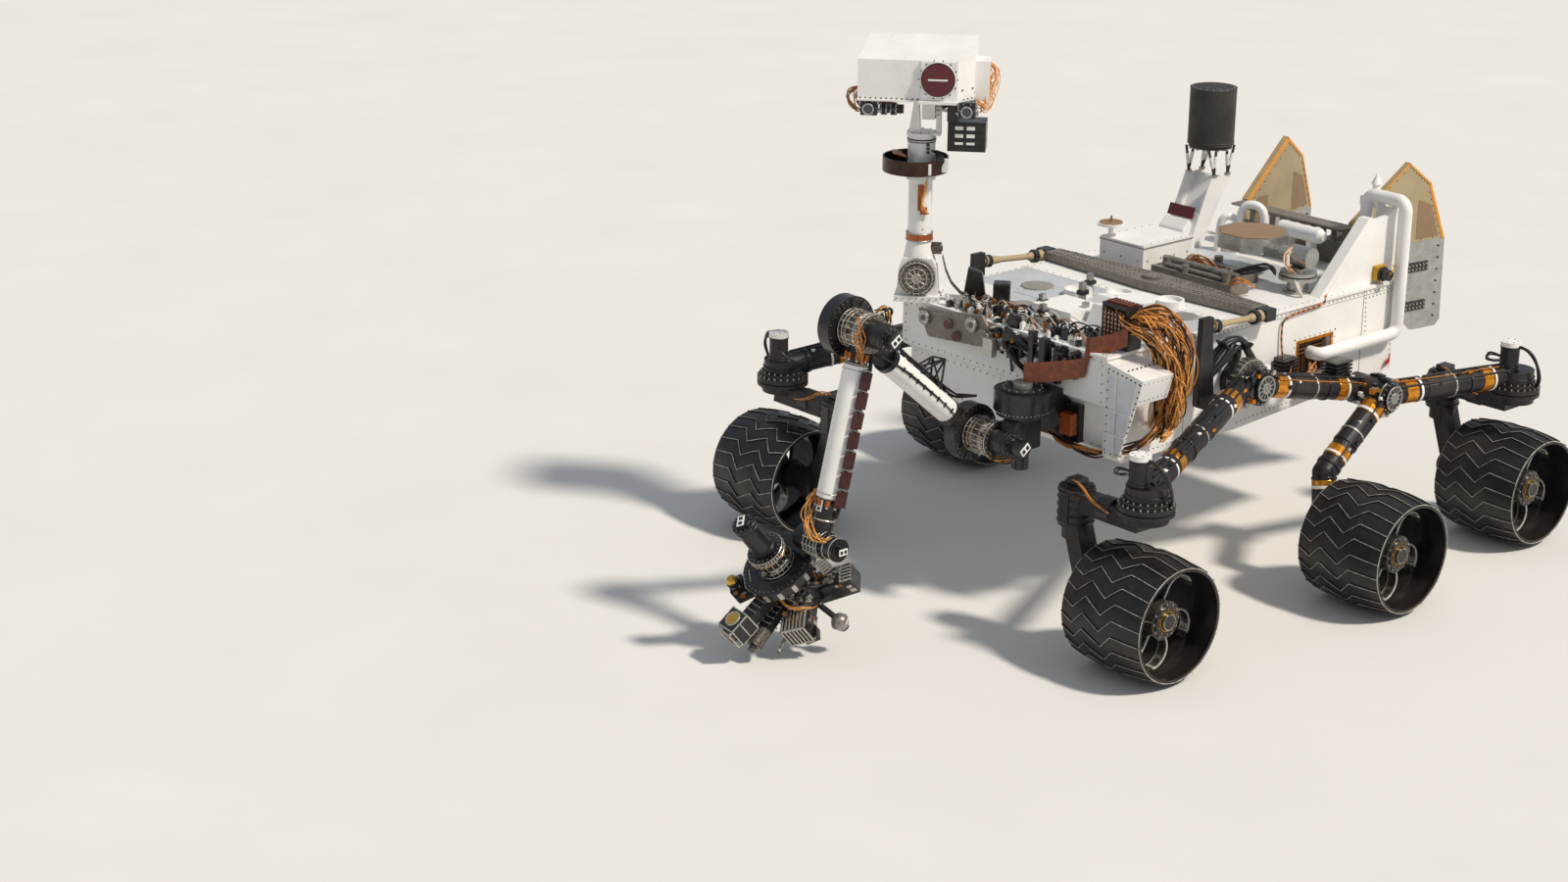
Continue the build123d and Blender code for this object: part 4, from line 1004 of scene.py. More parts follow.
def dressMechanism():
    rods, tank = newMeshes(2)
    for x, y, radius, tall in mechanism["cans"]:
        addRod(rods, rover, (x, y, mechanism["floor"]), (x, y, deck["z"] + tall + 20), radius, 18)
    for start, end, radius, around in mechanism["rods"]:
        addRod(rods, rover, start, end, radius, around)
    addPiece("mechanismRods", rods, "toolMetal", smooth=True)
    wires = bundle([(-60, 300, 1150), (-20, 340, 1190), (-60, 390, 1200), (-140, 380, 1150)], 5, 16, "m1")
    wires += bundle([(-180, -60, 1150), (-160, 0, 1215), (-190, 60, 1205), (-220, 120, 1150)], 6, 22, "m2")
    addWires("mechanismWires", "amberWire", 3.6, wires)
    addWires("coolantBends", "whitePaint", 19, mechanism["bends"])
    addRod(tank, rover, (-745, 20, 1250), (-745, 240, 1250), 34, 24)
    addRod(tank, rover, (-745, 240, 1250), (-745, 262, 1250), 34, 24, 18)
    for y in (60, 180):
        addBox(tank, rover, (-768, y, 1112), (-722, y + 24, 1222))
    addPiece("deckTank", tank, "whitePaint", smooth=True)


dressDeckScrews()
dressDeckPlates()
dressDeckFittings()
dressFrontClutter()
dressBeam()
dressDeckBox()
dressDish()
dressDishWires()
dressMechanism()
print("deck done")

# Mast: toothed gear with its cap, bolts, orange collar and strap, rings, dial and cables at the foot
mast = {
    "gearZ": 1218.0, "teeth": 40, "capFace": 96.3, "radius": 50.0,
    # bolts on the tube: heights, degrees round it
    "boltHeights": (1420, 1460, 1500, 1600), "boltTurns": (20, 130, 250),
    "ribbon": [(10, 100, 1300), (16, 116, 1240), (24, 140, 1190), (34, 180, 1150), (40, 240, 1128),
               (44, 310, 1124)],
}


# A flat cable along a route; half is the way to one edge, thick the way through it
def addStrip(mesh, place, route, half, thick):
    half = Vector(half)
    for start, end in zip(route, route[1:]):
        a, b = Vector(start), Vector(end)
        addPrism(mesh, place, [a - half, a + half, b + half, b - half], thick)


def dressMastGear():
    gear = bmesh.new()
    z, face = mast["gearZ"], mast["capFace"]
    for point in circleOf((82, 0, z), forward, 77, mast["teeth"]):
        addRod(gear, headFrame, point - Vector((10, 0, 0)), point + Vector((2, 0, 0)), 3.6, 6)
    for x, radius, thick, around in ((87, 66, 3, 40), (96.5, 44, 3, 36), (96.5, 18, 4, 24)):
        addTorus(gear, headFrame, (x, 0, z), forward, radius, thick, around)
    boltRing(gear, headFrame, (86.5, 0, z), forward, 70, 22, 3.4, 3)
    boltRing(gear, headFrame, (face, 0, z), forward, 52, 14, 3, 3)
    for point in circleOf((97, 0, z), forward, 42, 10):
        addRod(gear, headFrame, (97, 0, z), point, 2.6, 6)
    addPiece("mastGearTeeth", gear, "gearTrim", smooth=True)


def dressMastTube():
    studs, collar, rings = newMeshes(3)
    boltLine(studs, headFrame, (-80, 98, 1124), (80, 98, 1124), 5, leftward, 4, 3)
    boltLine(studs, headFrame, (88, -84, 1128), (88, 84, 1128), 7, forward, 4, 3)
    boltRing(studs, headFrame, (0, 0, 1640), up, 57, 12, 4, 13)
    boltRing(studs, headFrame, (0, 0, 1296), up, 61, 10, 4, 6)
    for z in mast["boltHeights"]:
        for turn in mast["boltTurns"]:
            a = radians(turn)
            x, y = mast["radius"] * cos(a), mast["radius"] * sin(a)
            addBolts(studs, headFrame, [(x, y, z)], (x, y, 0), 3.6, 2.5)
    addPiece("mastBolts", studs, "greyPlate")
    addRod(collar, headFrame, (0, 0, 1370), (0, 0, 1396), 57.5, 40)
    addBox(collar, headFrame, (46, -6, 1500), (53, 16, 1612))
    addBox(collar, headFrame, (44, 6, 1486), (58, 34, 1516))
    addPiece("mastCollar", collar, "copperFilm", smooth=True)
    addTorus(rings, headFrame, (0, 0, 1398), up, 56, 2.6, 44)
    addTorus(rings, headFrame, (0, 0, 1368), up, 57, 2.6, 44)
    addPiece("mastRings", rings, "silverMetal", smooth=True)
    wires = bundle([(50, 30, 1640), (60, 34, 1590), (58, 12, 1540), (64, 18, 1505), (52, 40, 1490)],
                   5, 8, "mast")
    addWires("mastWires", "orangeWire", 2.8, wires, place=headFrame)


def dressMastFoot():
    dial, ribbon, blocks = newMeshes(3)
    addRod(dial, headFrame, (0, 50, 1330), (0, 92, 1330), 26, 24)
    addTorus(dial, headFrame, (0, 92, 1330), leftward, 22, 4, 28)
    addRod(dial, headFrame, (0, 92, 1330), (0, 100, 1330), 12, 16)
    addPiece("mastDial", dial, "gearMetal", smooth=True)
    addStrip(ribbon, headFrame, mast["ribbon"], (22, 0, 0), (0, 1.5, 2))
    addPiece("mastRibbonCable", ribbon, "ribbonFilm")
    addPrism(blocks, headFrame, [(-30, 190, 1112), (-30, 290, 1112), (-30, 270, 1232), (-30, 210, 1252)],
             (44, 0, 0))
    addBox(blocks, headFrame, (-10, 320, 1112), (60, 392, 1200))
    addPiece("mastCableBlocks", blocks, "motorBlack", bevel=6)


def dressNeck():
    right = (0, -1, 0)
    rings, boxes, screws, cable = newMeshes(4)
    addTorus(rings, headFrame, (0, 0, 1800), up, 59, 3, 40)
    addTorus(rings, headFrame, (0, 0, 1790), up, 59, 2, 40)
    addTorus(rings, headFrame, (0, -24, 1721), up, 134, 2.5, 56)
    for k in range(3):
        addBox(rings, headFrame, (50, 26, 1745 + 16 * k), (60, 38, 1755 + 16 * k))
    addPiece("neckRings", rings, "darkBolt", "mast_neck", smooth=True)
    addBox(boxes, headFrame, (112, 6, 1668), (122, 52, 1716))
    addBox(boxes, headFrame, (64, 64, 1672), (74, 118, 1730))
    addPiece("neckTargetBox", boxes, "plainWhite", "mast_neck", bevel=2)
    boltRing(screws, headFrame, (0, 0, 1827), up, 56, 10, 4, 5)
    boltRing(screws, headFrame, (8, -90, 1915), right, 16, 6, 3, 3)
    addPiece("neckBolts", screws, "silverBolt", "mast_neck")
    wires = bundle([(-60, -90, 1722), (-20, -120, 1740), (40, -110, 1742), (80, -60, 1736)], 6, 10, "nk")
    addWires("neckWires", "amberWire", 3, wires, "mast_neck", headFrame)
    route = [(96, 70, 1690), (84, 86, 1722), (62, 80, 1748), (46, 56, 1760)]
    addStrip(cable, headFrame, route, (0, 18, 0), (4, 0, 1))
    addPiece("neckFlatCable", cable, "darkInside", "mast_neck")


# Head: rivets, lip, red cover, side cameras, box with windows, hub and harness
head = {
    # rivet rows: from, to, count, way they point
    "rivets": [((140, -246, 1990), (140, -10, 1990), 12, forward),
               ((110, 176, 1990), (70, 207, 1990), 3, (0.6, 0.8, 0)),
               ((40, 215, 2006), (-100, 215, 2006), 5, leftward),
               ((120, -258, 1990), (-170, -246, 1990), 10, (0, -1, 0)),
               ((-190, -220, 1990), (-190, 200, 1990), 14, (-1, 0, 0))],
    "coverCentre": (74, 2077), "cameras": (-212, 193),
    # windows: height of the row's middle, height of the window
    "windows": [(1862, 15), (1830, 15), (1798, 10)],
}


def dressHeadCover():
    rivets, lip, cover, dash = newMeshes(4)
    y, z = head["coverCentre"]
    boltRing(rivets, headFrame, (154, y, z), forward, 79, 14, 3.6, 2.5)
    for start, end, count, way in head["rivets"]:
        boltLine(rivets, headFrame, start, end, count, way, 3.6, 2.5)
    boltLine(rivets, headFrame, (120, 172, 2030), (70, 210, 2030), 2, (0.6, 0.8, 0), 4, 3)
    addPiece("headRivets", rivets, "darkBolt", "mast_head")
    addBox(lip, headFrame, (136, -262, 1978), (148, 156, 1986))
    addBox(lip, headFrame, (150, -4, 1976), (172, 152, 1988))
    addTorus(lip, headFrame, (160, y, z), forward, 71, 3, 44)
    addPiece("headLip", lip, "whitePaint", "mast_head", bevel=1)
    addRod(cover, headFrame, (165.5, y, z), (170, y, z), 66, 44)
    addPiece("headCover", cover, "redCover", "mast_head", bevel=1)
    addBox(dash, headFrame, (169.5, y - 40, z - 3.5), (171, y + 40, z + 3.5))
    addPiece("headCoverDash", dash, "plainWhite", "mast_head")


def dressHeadCameras():
    lenses, metal = newMeshes(2)
    for y in head["cameras"]:
        addRod(lenses, headFrame, (149, y, 1944), (151, y, 1944), 16, 24)
        addTorus(metal, headFrame, (149, y, 1944), forward, 21, 4, 28)
        boltRing(metal, headFrame, (128, y, 1946), forward, 30, 6, 3, 4)
        addBox(metal, headFrame, (70, y - 40, 1960), (120, y + 40, 1979))
        addRod(metal, headFrame, (100, y - 46, 1930), (100, y + 46, 1930), 9, 14)
    for y in (-168, -148, -128, -108):
        addTorus(metal, headFrame, (20, y, 1923), leftward, 24, 4, 24)
    addPiece("headLenses", lenses, "lensGlass", "mast_head")
    addPiece("headMounts", metal, "silverMetal", "mast_head", smooth=True)


def dressHeadBox():
    cells, frames, hub = newMeshes(3)
    for row, tall in head["windows"]:
        for y in (160, 208):
            addBox(cells, headFrame, (74, y - 17, row - tall / 2), (76, y + 17, row + tall / 2))
    for y in (124, 134, 184, 232, 246, 258):
        addBox(frames, headFrame, (74, y - 2, 1772), (78, y + 2, 1882))
    for row in (1782, 1814, 1846, 1878):
        addBox(frames, headFrame, (74, 118, row - 2), (78, 264, row + 2))
    addPiece("headBoxWindows", cells, "plainWhite", "mast_head")
    addPiece("headBoxFrame", frames, "motorBlack", "mast_head")
    addRod(hub, headFrame, (0, 56, 1915), (0, 76, 1915), 30, 24)
    addRod(hub, headFrame, (10, 60, 1960), (40, 96, 1960), 26, 20)
    addTorus(hub, headFrame, (10, 96, 1940), forward, 20, 6, 24)
    addPiece("headHub", hub, "silverMetal", "mast_head", smooth=True)


def dressHeadWires():
    harness = bundle([(-70, 262, 2118), (-50, 290, 2096), (-30, 286, 2040), (-20, 276, 1990),
                      (10, 262, 1940), (30, 240, 1950), (50, 226, 1972)], 12, 34, "head")
    addWires("headHarness", "orangeWire", 2, harness, "mast_head", headFrame)
    small = bundle([(20, -258, 2000), (40, -276, 1980), (60, -262, 1944), (84, -236, 1934)], 6, 10, "hl")
    small += bundle([(0, -262, 2010), (30, -304, 1996), (60, -300, 1946), (90, -262, 1926)], 6, 20, "hn")
    small += bundle([(20, -190, 1940), (24, -150, 1954), (26, -124, 1952), (20, -104, 1940)], 6, 8, "hm")
    addWires("headSmallWires", "amberWire", 2.8, small, "mast_head", headFrame)


dressMastGear()
dressMastTube()
dressMastFoot()
dressNeck()
dressHeadCover()
dressHeadCameras()
dressHeadBox()
dressHeadWires()
print("mast done")

# Front of the body: cameras, rivet rows, gusset, drum, band, connectors, harness and units
front = {
    "x": 1000.0, "lowX": 945.0, "plateX": 1034.3, "lensX": 1048.3,
    "lenses": [(-412, 1058), (-129, 1090)], "redCovers": [(-270, 1060), (-222, 1018)],
    # rivet rows: (y, z) from, (y, z) to, count
    "rivets": [((-570, 1084), (-470, 1084), 4), ((40, 1084), (560, 1084), 14),
               ((-570, 920), (-570, 1070), 5), ((568, 920), (568, 1070), 5), ((-560, 916), (100, 916), 18)],
    "lowRivets": [((-560, 860), (110, 860), 18), ((-560, 712), (560, 712), 28)],
    # units: y, z, width, height
    "units": [(40, 1030, 46, 70), (110, 1010, 40, 60), (180, 1040, 60, 50), (270, 1050, 40, 60),
              (330, 1030, 50, 56), (420, 1040, 30, 60)],
    "strutFeet": [(70, 930), (150, 930), (30, 1040), (200, 1040)],
}


def dressCameras():
    metal, glass, red, bolts = newMeshes(4)
    x, plate = front["lensX"], front["plateX"]
    for y, z in front["lenses"]:
        addRod(metal, rover, (x - 2, y, z), (x + 3, y, z), 31, 32)
        addTorus(metal, rover, (x + 3, y, z), forward, 24, 4, 32)
        addRod(glass, rover, (x + 3, y, z), (x + 5, y, z), 14, 24)
        boltRing(metal, rover, (x + 3, y, z), forward, 27, 8, 2.6, 3)
    for y, z in front["redCovers"]:
        addRod(red, rover, (x - 2, y, z), (x + 3, y, z), 19, 28)
    addBox(metal, rover, (1036, -40, 984), (1066, 14, 1062))
    addPiece("cameraRings", metal, "silverMetal", bevel=1)
    addPiece("cameraGlass", glass, "lensGlass")
    addPiece("cameraCovers", red, "redCover", bevel=1)
    boltLine(bolts, rover, (plate, -440, 1078), (plate, -100, 1124), 9, forward, 4, 3)
    boltLine(bolts, rover, (plate, -384, 986), (plate, -40, 1010), 8, forward, 4, 3)
    addPiece("cameraPlateBolts", bolts, "silverBolt")


def dressFrontRivets():
    rivets = bmesh.new()
    for x, rows in ((front["x"], front["rivets"]), (front["lowX"], front["lowRivets"])):
        for start, end, count in rows:
            boltLine(rivets, rover, (x, *start), (x, *end), count, forward, 4, 2.4)
    addPiece("frontRivets", rivets, "greyPlate")


# Gusset at the left of the front: it narrows downwards and has three rows of two panels
gusset = {
    "inner": 588, "width": 195, "narrowing": 84, "topZ": 1056, "height": 345, "rim": 30,
    # rivet rows on the face: (y, z) from, (y, z) to, count
    "faceRivets": [((604, 1066), (766, 1040), 8), ((772, 1036), (684, 722), 13),
                   ((600, 716), (664, 722), 3), ((600, 1050), (600, 730), 10)],
    # rivet rows along the side: x from, y, z
    "sideRivets": [(836, 690, 1075), (830, 776, 1040), (830, 756, 966)],
    "panels": [(716, 794), (806, 894), (906, 1040)],
}


def gussetEdge(z):
    narrowing = gusset["narrowing"] * (gusset["topZ"] - z) / gusset["height"]
    return gusset["inner"] + (gusset["width"] - narrowing - gusset["rim"])


def dressGusset():
    rivets, panels = newMeshes(2)
    x = front["x"]
    for start, end, count in gusset["faceRivets"]:
        boltLine(rivets, rover, (x, *start), (x, *end), count, forward, 4.4, 2.6)
    for start, y, z in gusset["sideRivets"]:
        boltLine(rivets, rover, (start, y, z), (984, y, z), 7, (0, 1, 0.25), 4.4, 2.6)
    addPiece("gussetRivets", rivets, "darkBolt")
    # The panels are a little greyer than the frame round them: painted shade
    for low, high in gusset["panels"]:
        addPrism(panels, rover, [(x, 592, low), (x, 640, low), (x, 640, high), (x, 592, high)],
                 (1.2, 0, 0))
        addPrism(panels, rover, [(x, 652, low), (x, gussetEdge(low), low), (x, gussetEdge(high), high),
                                 (x, 652, high)], (1.2, 0, 0))
    addPiece("gussetPanels", panels, "panelShade")


# Drum of the arm's azimuth joint with posts behind it, and the copper band from it to the deck
drum = {
    "centre": (1150, 280), "top": 944, "flange": 858, "postFoot": 950,
    # posts: y, width, height, look
    "posts": [(196, 30, 190, "motorBlack"), (240, 14, 150, "gearTrim"), (262, 36, 176, "motorBlack"),
              (312, 12, 140, "gearTrim"), (340, 26, 120, "motorBlack")],
    # band: x, y, lower edge, upper edge
    "band": [(1150, 280, 962, 1045), (1105, 345, 970, 1054), (1060, 410, 984, 1067), (1012, 478, 1004, 1085),
             (1010, 484, 1006, 1170), (1006, 500, 1086, 1172), (955, 562, 1112, 1192),
             (905, 606, 1142, 1222)],
}


def dressDrum():
    posts = {"motorBlack": bmesh.new(), "gearTrim": bmesh.new()}
    trim, band = newMeshes(2)
    foot, top = drum["postFoot"], (*drum["centre"], drum["top"])
    for y, wide, tall, look in drum["posts"]:
        addBox(posts[look], rover, (1016, y, foot), (1016 + wide, y + wide, foot + tall))
    for look, mesh in posts.items():
        addPiece("drumPosts_" + look, mesh, look, bevel=3)
    boltRing(trim, rover, top, up, 78, 14, 4, 3)
    addBolts(trim, rover, circleOf((*drum["centre"], drum["flange"]), up, 112, 40), down, 4.5, 9)
    addRod(trim, rover, top, (*drum["centre"], 966), 40, 24)
    addPiece("azimuthTrim", trim, "silverMetal", smooth=True)
    line = drum["band"]
    for (x0, y0, low0, high0), (x1, y1, low1, high1) in zip(line, line[1:]):
        addPrism(band, rover, [(x0, y0, low0), (x1, y1, low1), (x1, y1, high1), (x0, y0, high0)],
                 (3, 3, 0))
    addPiece("copperBand", band, "bandFilm")


def dressConnectors():
    blocks, pins = newMeshes(2)
    for k in range(6):
        y = 470 + 19 * k
        addBox(blocks, rover, (885, y, 1154), (897, y + 12, 1274 - 4 * (k % 3)))
        for z in range(1164, 1270, 18):
            addRod(pins, rover, (896, y + 6, z), (901, y + 6, z), 4, 8)
    addPiece("connectorPins", pins, "gearTrim")
    addBox(blocks, rover, (880, 462, 1140), (896, 590, 1152))
    for k in range(7):
        addBox(blocks, rover, (826, 466 + 18 * k, 1288), (880, 476 + 18 * k, 1300))
    addPiece("connectorSockets", blocks, "bandFilm", bevel=1)


# Harness from the connectors down to the legs: route, wires, spread, seed of the draws
harness = [
    ([(860, 600, 1236), (850, 672, 1262), (812, 742, 1196), (780, 760, 1090), (768, 752, 970),
      (756, 724, 870), (732, 668, 806), (700, 604, 776)], 44, 56, "bundle"),
    ([(850, 596, 1262), (790, 650, 1290), (710, 704, 1220), (660, 720, 1100), (650, 700, 980),
      (690, 690, 880), (740, 700, 800), (800, 720, 760)], 18, 40, "bundleFour"),
    ([(870, 598, 1190), (850, 640, 1190), (820, 690, 1120), (800, 700, 1010), (790, 690, 900),
      (770, 650, 820), (740, 610, 770)], 18, 24, "bundleTwo"),
    ([(906, 560, 1250), (930, 610, 1240), (880, 690, 1210), (830, 720, 1130), (800, 740, 1060)],
     8, 16, "bundleThree"),
]
lowHarness = [
    ([(1010, 430, 700), (990, 520, 690), (960, 600, 706), (900, 680, 740), (820, 700, 790),
      (760, 690, 830)], 12, 26, "low"),
    ([(1010, 300, 730), (1004, 380, 700), (990, 470, 690), (960, 560, 690)], 8, 24, "low2"),
]
edgeWires = [
    ([(1040, 60, 1060), (1046, 90, 1030), (1040, 120, 1000), (1010, 150, 960)], 7, 18, "pin"),
    ([(1010, 40, 1110), (1040, 110, 1096), (1030, 200, 1060), (1010, 260, 1010)], 7, 20, "pin2"),
]


def bundles(table):
    return [wire for route, count, spread, seed in table for wire in bundle(route, count, spread, seed)]


def dressHarness():
    routes, low = bundles(harness), bundles(lowHarness)
    addWires("harnessOrange", "orangeWire", 3.2, routes[::2])
    addWires("harnessAmber", "amberWire", 3.2, routes[1::4])
    addWires("harnessDark", "ribbonFilm", 3.2, routes[3::4])
    addWires("harnessLow", "amberWire", 3.6, low[::2])
    addWires("harnessLowDark", "ribbonFilm", 4.2, low[1::2])


def dressFrontUnits():
    films, units, struts = newMeshes(3)
    x = front["x"]
    addBox(films, rover, (976, 150, 770), (1010, 196, 850))
    addBox(films, rover, (976, 360, 740), (1014, 424, 830))
    addPiece("mountFilmBoxes", films, "copperFilm", bevel=2)
    addWires("frontEdgeWires", "blackCable", 5.5, bundles(edgeWires))
    for y, z, wide, tall in front["units"]:
        addBox(units, rover, (x, y, z), (x + 34, y + wide, z + tall))
    addPiece("frontUnits", units, "motorBlack", bevel=3)
    for y, z in front["strutFeet"]:
        addRod(struts, rover, (x, y, z), (1060, 110, 1060), 6, 10)
    addPiece("frontStruts", struts, "motorBlack")


dressCameras()
dressFrontRivets()
dressGusset()
dressDrum()
dressConnectors()
dressHarness()
dressFrontUnits()
print("front done")

# Arm: gears, motors and target plates, each made about its own axis as +Z
shoulderAxis = turned(rover, 1262, 0, 735, -90, "X")
elbowAxis = turned(rover, 1950, 0, 1308, -90, "X")
wristAxis = turned(rover, 2159, 0, 495, -90, "X")
upperFrame = turned(rover, 1262, 0, 735, -39.8, "Y")
foreFrame = turned(rover, 1950, 0, 1308, 75.6, "Y")


def spun(angle, radius, z):
    a = radians(angle)
    return (radius * cos(a), radius * sin(a), z)


def dressGear(name, body, place, low, high):
    chance = random.Random(name)
    bright, dark, gold = newMeshes(3)
    radius = 75.0
    for angle in range(0, 360, 18):
        addRod(bright, place, spun(angle, radius - 1, low + 6), spun(angle, radius - 1, high - 6), 2.6, 6)
        for mesh, turn, inner, outer, z in ((bright, 9, 4, 5, high - 11), (dark, 4, 4, 4, low + 11)):
            addRod(mesh, place, spun(angle + turn, radius - inner, z), spun(angle + turn, radius + outer, z),
                   4, 6)
    for z in (low + 1, low + 22, high - 22, high - 2):
        addTorus(bright, place, (0, 0, z), up, radius, 2.4, 40, 5)
    for z in range(int(low) + 30, int(high) - 26, 7):
        addTorus(gold if z % 3 == 0 else bright, place, (0, 0, z), up, radius - 4, 2.8, 36, 5)
    for i in range(16):
        size = chance.uniform(7, 15)
        block = turned(place, 0, 0, 0, chance.uniform(0, 360))
        z = chance.uniform(low + 8, high - 18)
        outer = radius + chance.uniform(3, 8)
        addBox((bright, dark, dark)[i % 3], block, (radius - 8, -size / 2, z), (outer, size / 2, z + size))
    addPiece(name + "Trim", bright, "gearTrim", body, bevel=0.6)
    addPiece(name + "Blocks", dark, "motorBlack", body, bevel=1)
    addPiece(name + "Coils", gold, "copperCoil", body, smooth=True)


def targetPlate(name, body, place, z, half):
    plate, marks = newMeshes(2)
    addBox(plate, place, (-half, -half * 0.62, z - 0.5), (half, half * 0.62, z + 2))
    wide, tall = half * 0.3, half * 0.33
    for centre in (half * -0.46, half * 0.46):
        addBox(marks, place, (centre - wide, -tall, z), (centre + wide, tall, z + 2.8))
    addPiece(name + "Plate", plate, "plainWhite", body, bevel=1)
    addPiece(name + "Marks", marks, "darkInside", body)


# name: body, axis, gear from, gear to, motor's radius, its end, cap's radius, its end
motors = {
    "shoulder": ("arm_shoulder", shoulderAxis, 135, 255, 52, 350, 32, 414),
    "elbow": ("forearm", elbowAxis, 135, 255, 52, 350, 30, 385),
    "clutch": ("wrist", turretFrame, 22, 120, 46, 292, 30, 307),
}


def dressMotor(name, body, place, low, high, thick, middle, thin, end):
    rings, bolts = newMeshes(2)
    dressGear(name + "Gear", body, place, low, high)
    targetPlate(name + "Target", body, turned(place, 0, 0, 0, 35), end, thin * 0.82)
    for z in (high + 12, high + 20, middle - 26, middle - 6):
        addTorus(rings, place, (0, 0, z), up, thick, 2, 40, 5)
    addTorus(rings, place, (0, 0, middle + 3), up, thin, 3, 36, 5)
    boltRing(bolts, place, (0, 0, middle), up, (thick + thin) / 2 + 1, 12, 3, 3)
    boltRing(bolts, place, (0, 0, high), up, 63, 20, 3.4, 4)
    addPiece(name + "MotorRings", rings, "legBlack", body, smooth=True)
    addPiece(name + "MotorBolts", bolts, "silverBolt", body)


for name, row in motors.items():
    dressMotor(name, *row)
targetPlate("wristTarget", "forearm", wristAxis, 335, 21)
targetPlate("forearmTarget", "forearm", turned(foreFrame, 690, 198, 0, 0), 41, 24)
print("gears done")


# Discs at both ends of the upper arm, with rim bolts and webs
def dressDiscs():
    bolts, webs = newMeshes(2)
    for place in (shoulderAxis, elbowAxis):
        for z, way in ((70, -1), (130, 1)):
            addBolts(bolts, place, circleOf((0, 0, z), up, 109, 28), (0, 0, way), 3.4, 3)
            addTorus(webs, place, (0, 0, z), up, 118, 2.4, 60, 5)
        for angle in range(0, 360, 30):
            web = turned(place, 0, 0, 0, angle)
            addBox(webs, web, (84, -3, 128), (114, 3, 134))
            addBox(webs, web, (30, -3, 66), (114, 3, 72))
    addPiece("armDiscBolts", bolts, "silverBolt", "upper_arm")
    addPiece("armDiscWebs", webs, "legBlack", "upper_arm", bevel=1)


# Upper arm: clips along the tube, a stand of rods on it, cables over and under it
upperArm = {
    "standFeet": [(300, 70, 44), (300, 130, 44), (440, 70, 44), (440, 130, 44)],
    "standTops": [(330, 100, 158), (400, 100, 132)],
    "cables": [(70, 100, 128), (130, 100, 90), (200, 100, 63), (400, 100, 62), (590, 100, 63),
               (680, 100, 92), (760, 100, 128)],
    "wires": [(120, 150, -20), (200, 152, 0), (400, 154, 2), (580, 152, 0), (700, 150, -20)],
}


def dressUpperArm():
    clips, stand = newMeshes(2)
    for x in range(196, 600, 50):
        addBox(clips, upperFrame, (x, 88, 48), (x + 12, 112, 60))
        addBox(clips, upperFrame, (x + 4, 146, -10), (x + 12, 154, 10))
    for foot in upperArm["standFeet"]:
        for top in upperArm["standTops"]:
            addRod(stand, upperFrame, foot, top, 4.5, 6)
    addRod(stand, upperFrame, *upperArm["standTops"], 4, 6)
    addPiece("upperArmClips", clips, "motorBlack", "upper_arm", bevel=1)
    addPiece("upperArmStand", stand, "legBlack", "upper_arm")
    addWires("upperArmCables", "blackCable", 4, bundle(upperArm["cables"], 5, 9, 31), "upper_arm", upperFrame)
    addWires("upperArmWires", "blackCable", 2.6, bundle(upperArm["wires"], 3, 4, 32), "upper_arm", upperFrame)


# Forearm: dark red cable covers along the tube, sleeves, wire bundles and connectors at both ends
forearm = {
    "y": 198, "sleeveEnd": 241,
    "side": [(60, 232, -30), (130, 246, -36), (300, 262, -6), (560, 262, -6), (650, 246, -30),
             (730, 240, -20)],
    "low": [(640, 150, 30), (690, 136, 44), (740, 150, 46), (790, 190, 56), (830, 250, 44), (800, 280, 20)],
    "high": [(120, 250, 20), (90, 262, 50), (40, 258, 76), (0, 250, 84), (-50, 240, 74)],
}


def dressForearmEnds(blocks, bright):
    centre = forearm["y"]
    for x in (96, 676):
        for angle in range(0, 360, 45):
            y, z = centre + 44 * cos(radians(angle)), 44 * sin(radians(angle))
            addBox(blocks, foreFrame, (x - 10, y - 7, z - 7), (x + 14, y + 7, z + 7))
            addRod(bright, foreFrame, (x + 14, y, z), (x + 22, y, z), 6, 8)
    for x in (128, 660, 745):
        addTorus(bright, foreFrame, (x, centre, 0), forward, 40, 4, 36, 6)
    boltRing(bright, wristAxis, (0, 0, 240), up, 46, 14, 3, 3)


def dressForearmSleeves(bright):
    sleeves = bmesh.new()
    y, end = forearm["y"], forearm["sleeveEnd"]
    addRod(sleeves, foreFrame, (657, y, 0), (800, y, 0), 41, 32)
    addRod(sleeves, foreFrame, (52, y, 0), (132, y, 0), 42, 32)
    addRod(sleeves, wristAxis, (0, 0, 149), (0, 0, end), 54, 40)
    addRod(sleeves, wristAxis, (0, 0, 244), (0, 0, 316), 46, 36)
    addPiece("forearmSleeves", sleeves, "motorBlack", "forearm", smooth=True)
    for z in (160, 180, 200, 220, 236, 262, 300):
        addTorus(bright, wristAxis, (0, 0, z), up, 54 if z < end else 46, 2.4, 40, 5)
    for angle in range(0, 360, 30):
        addRod(bright, wristAxis, spun(angle, 56, 152), spun(angle, 56, 238), 2.6, 6)


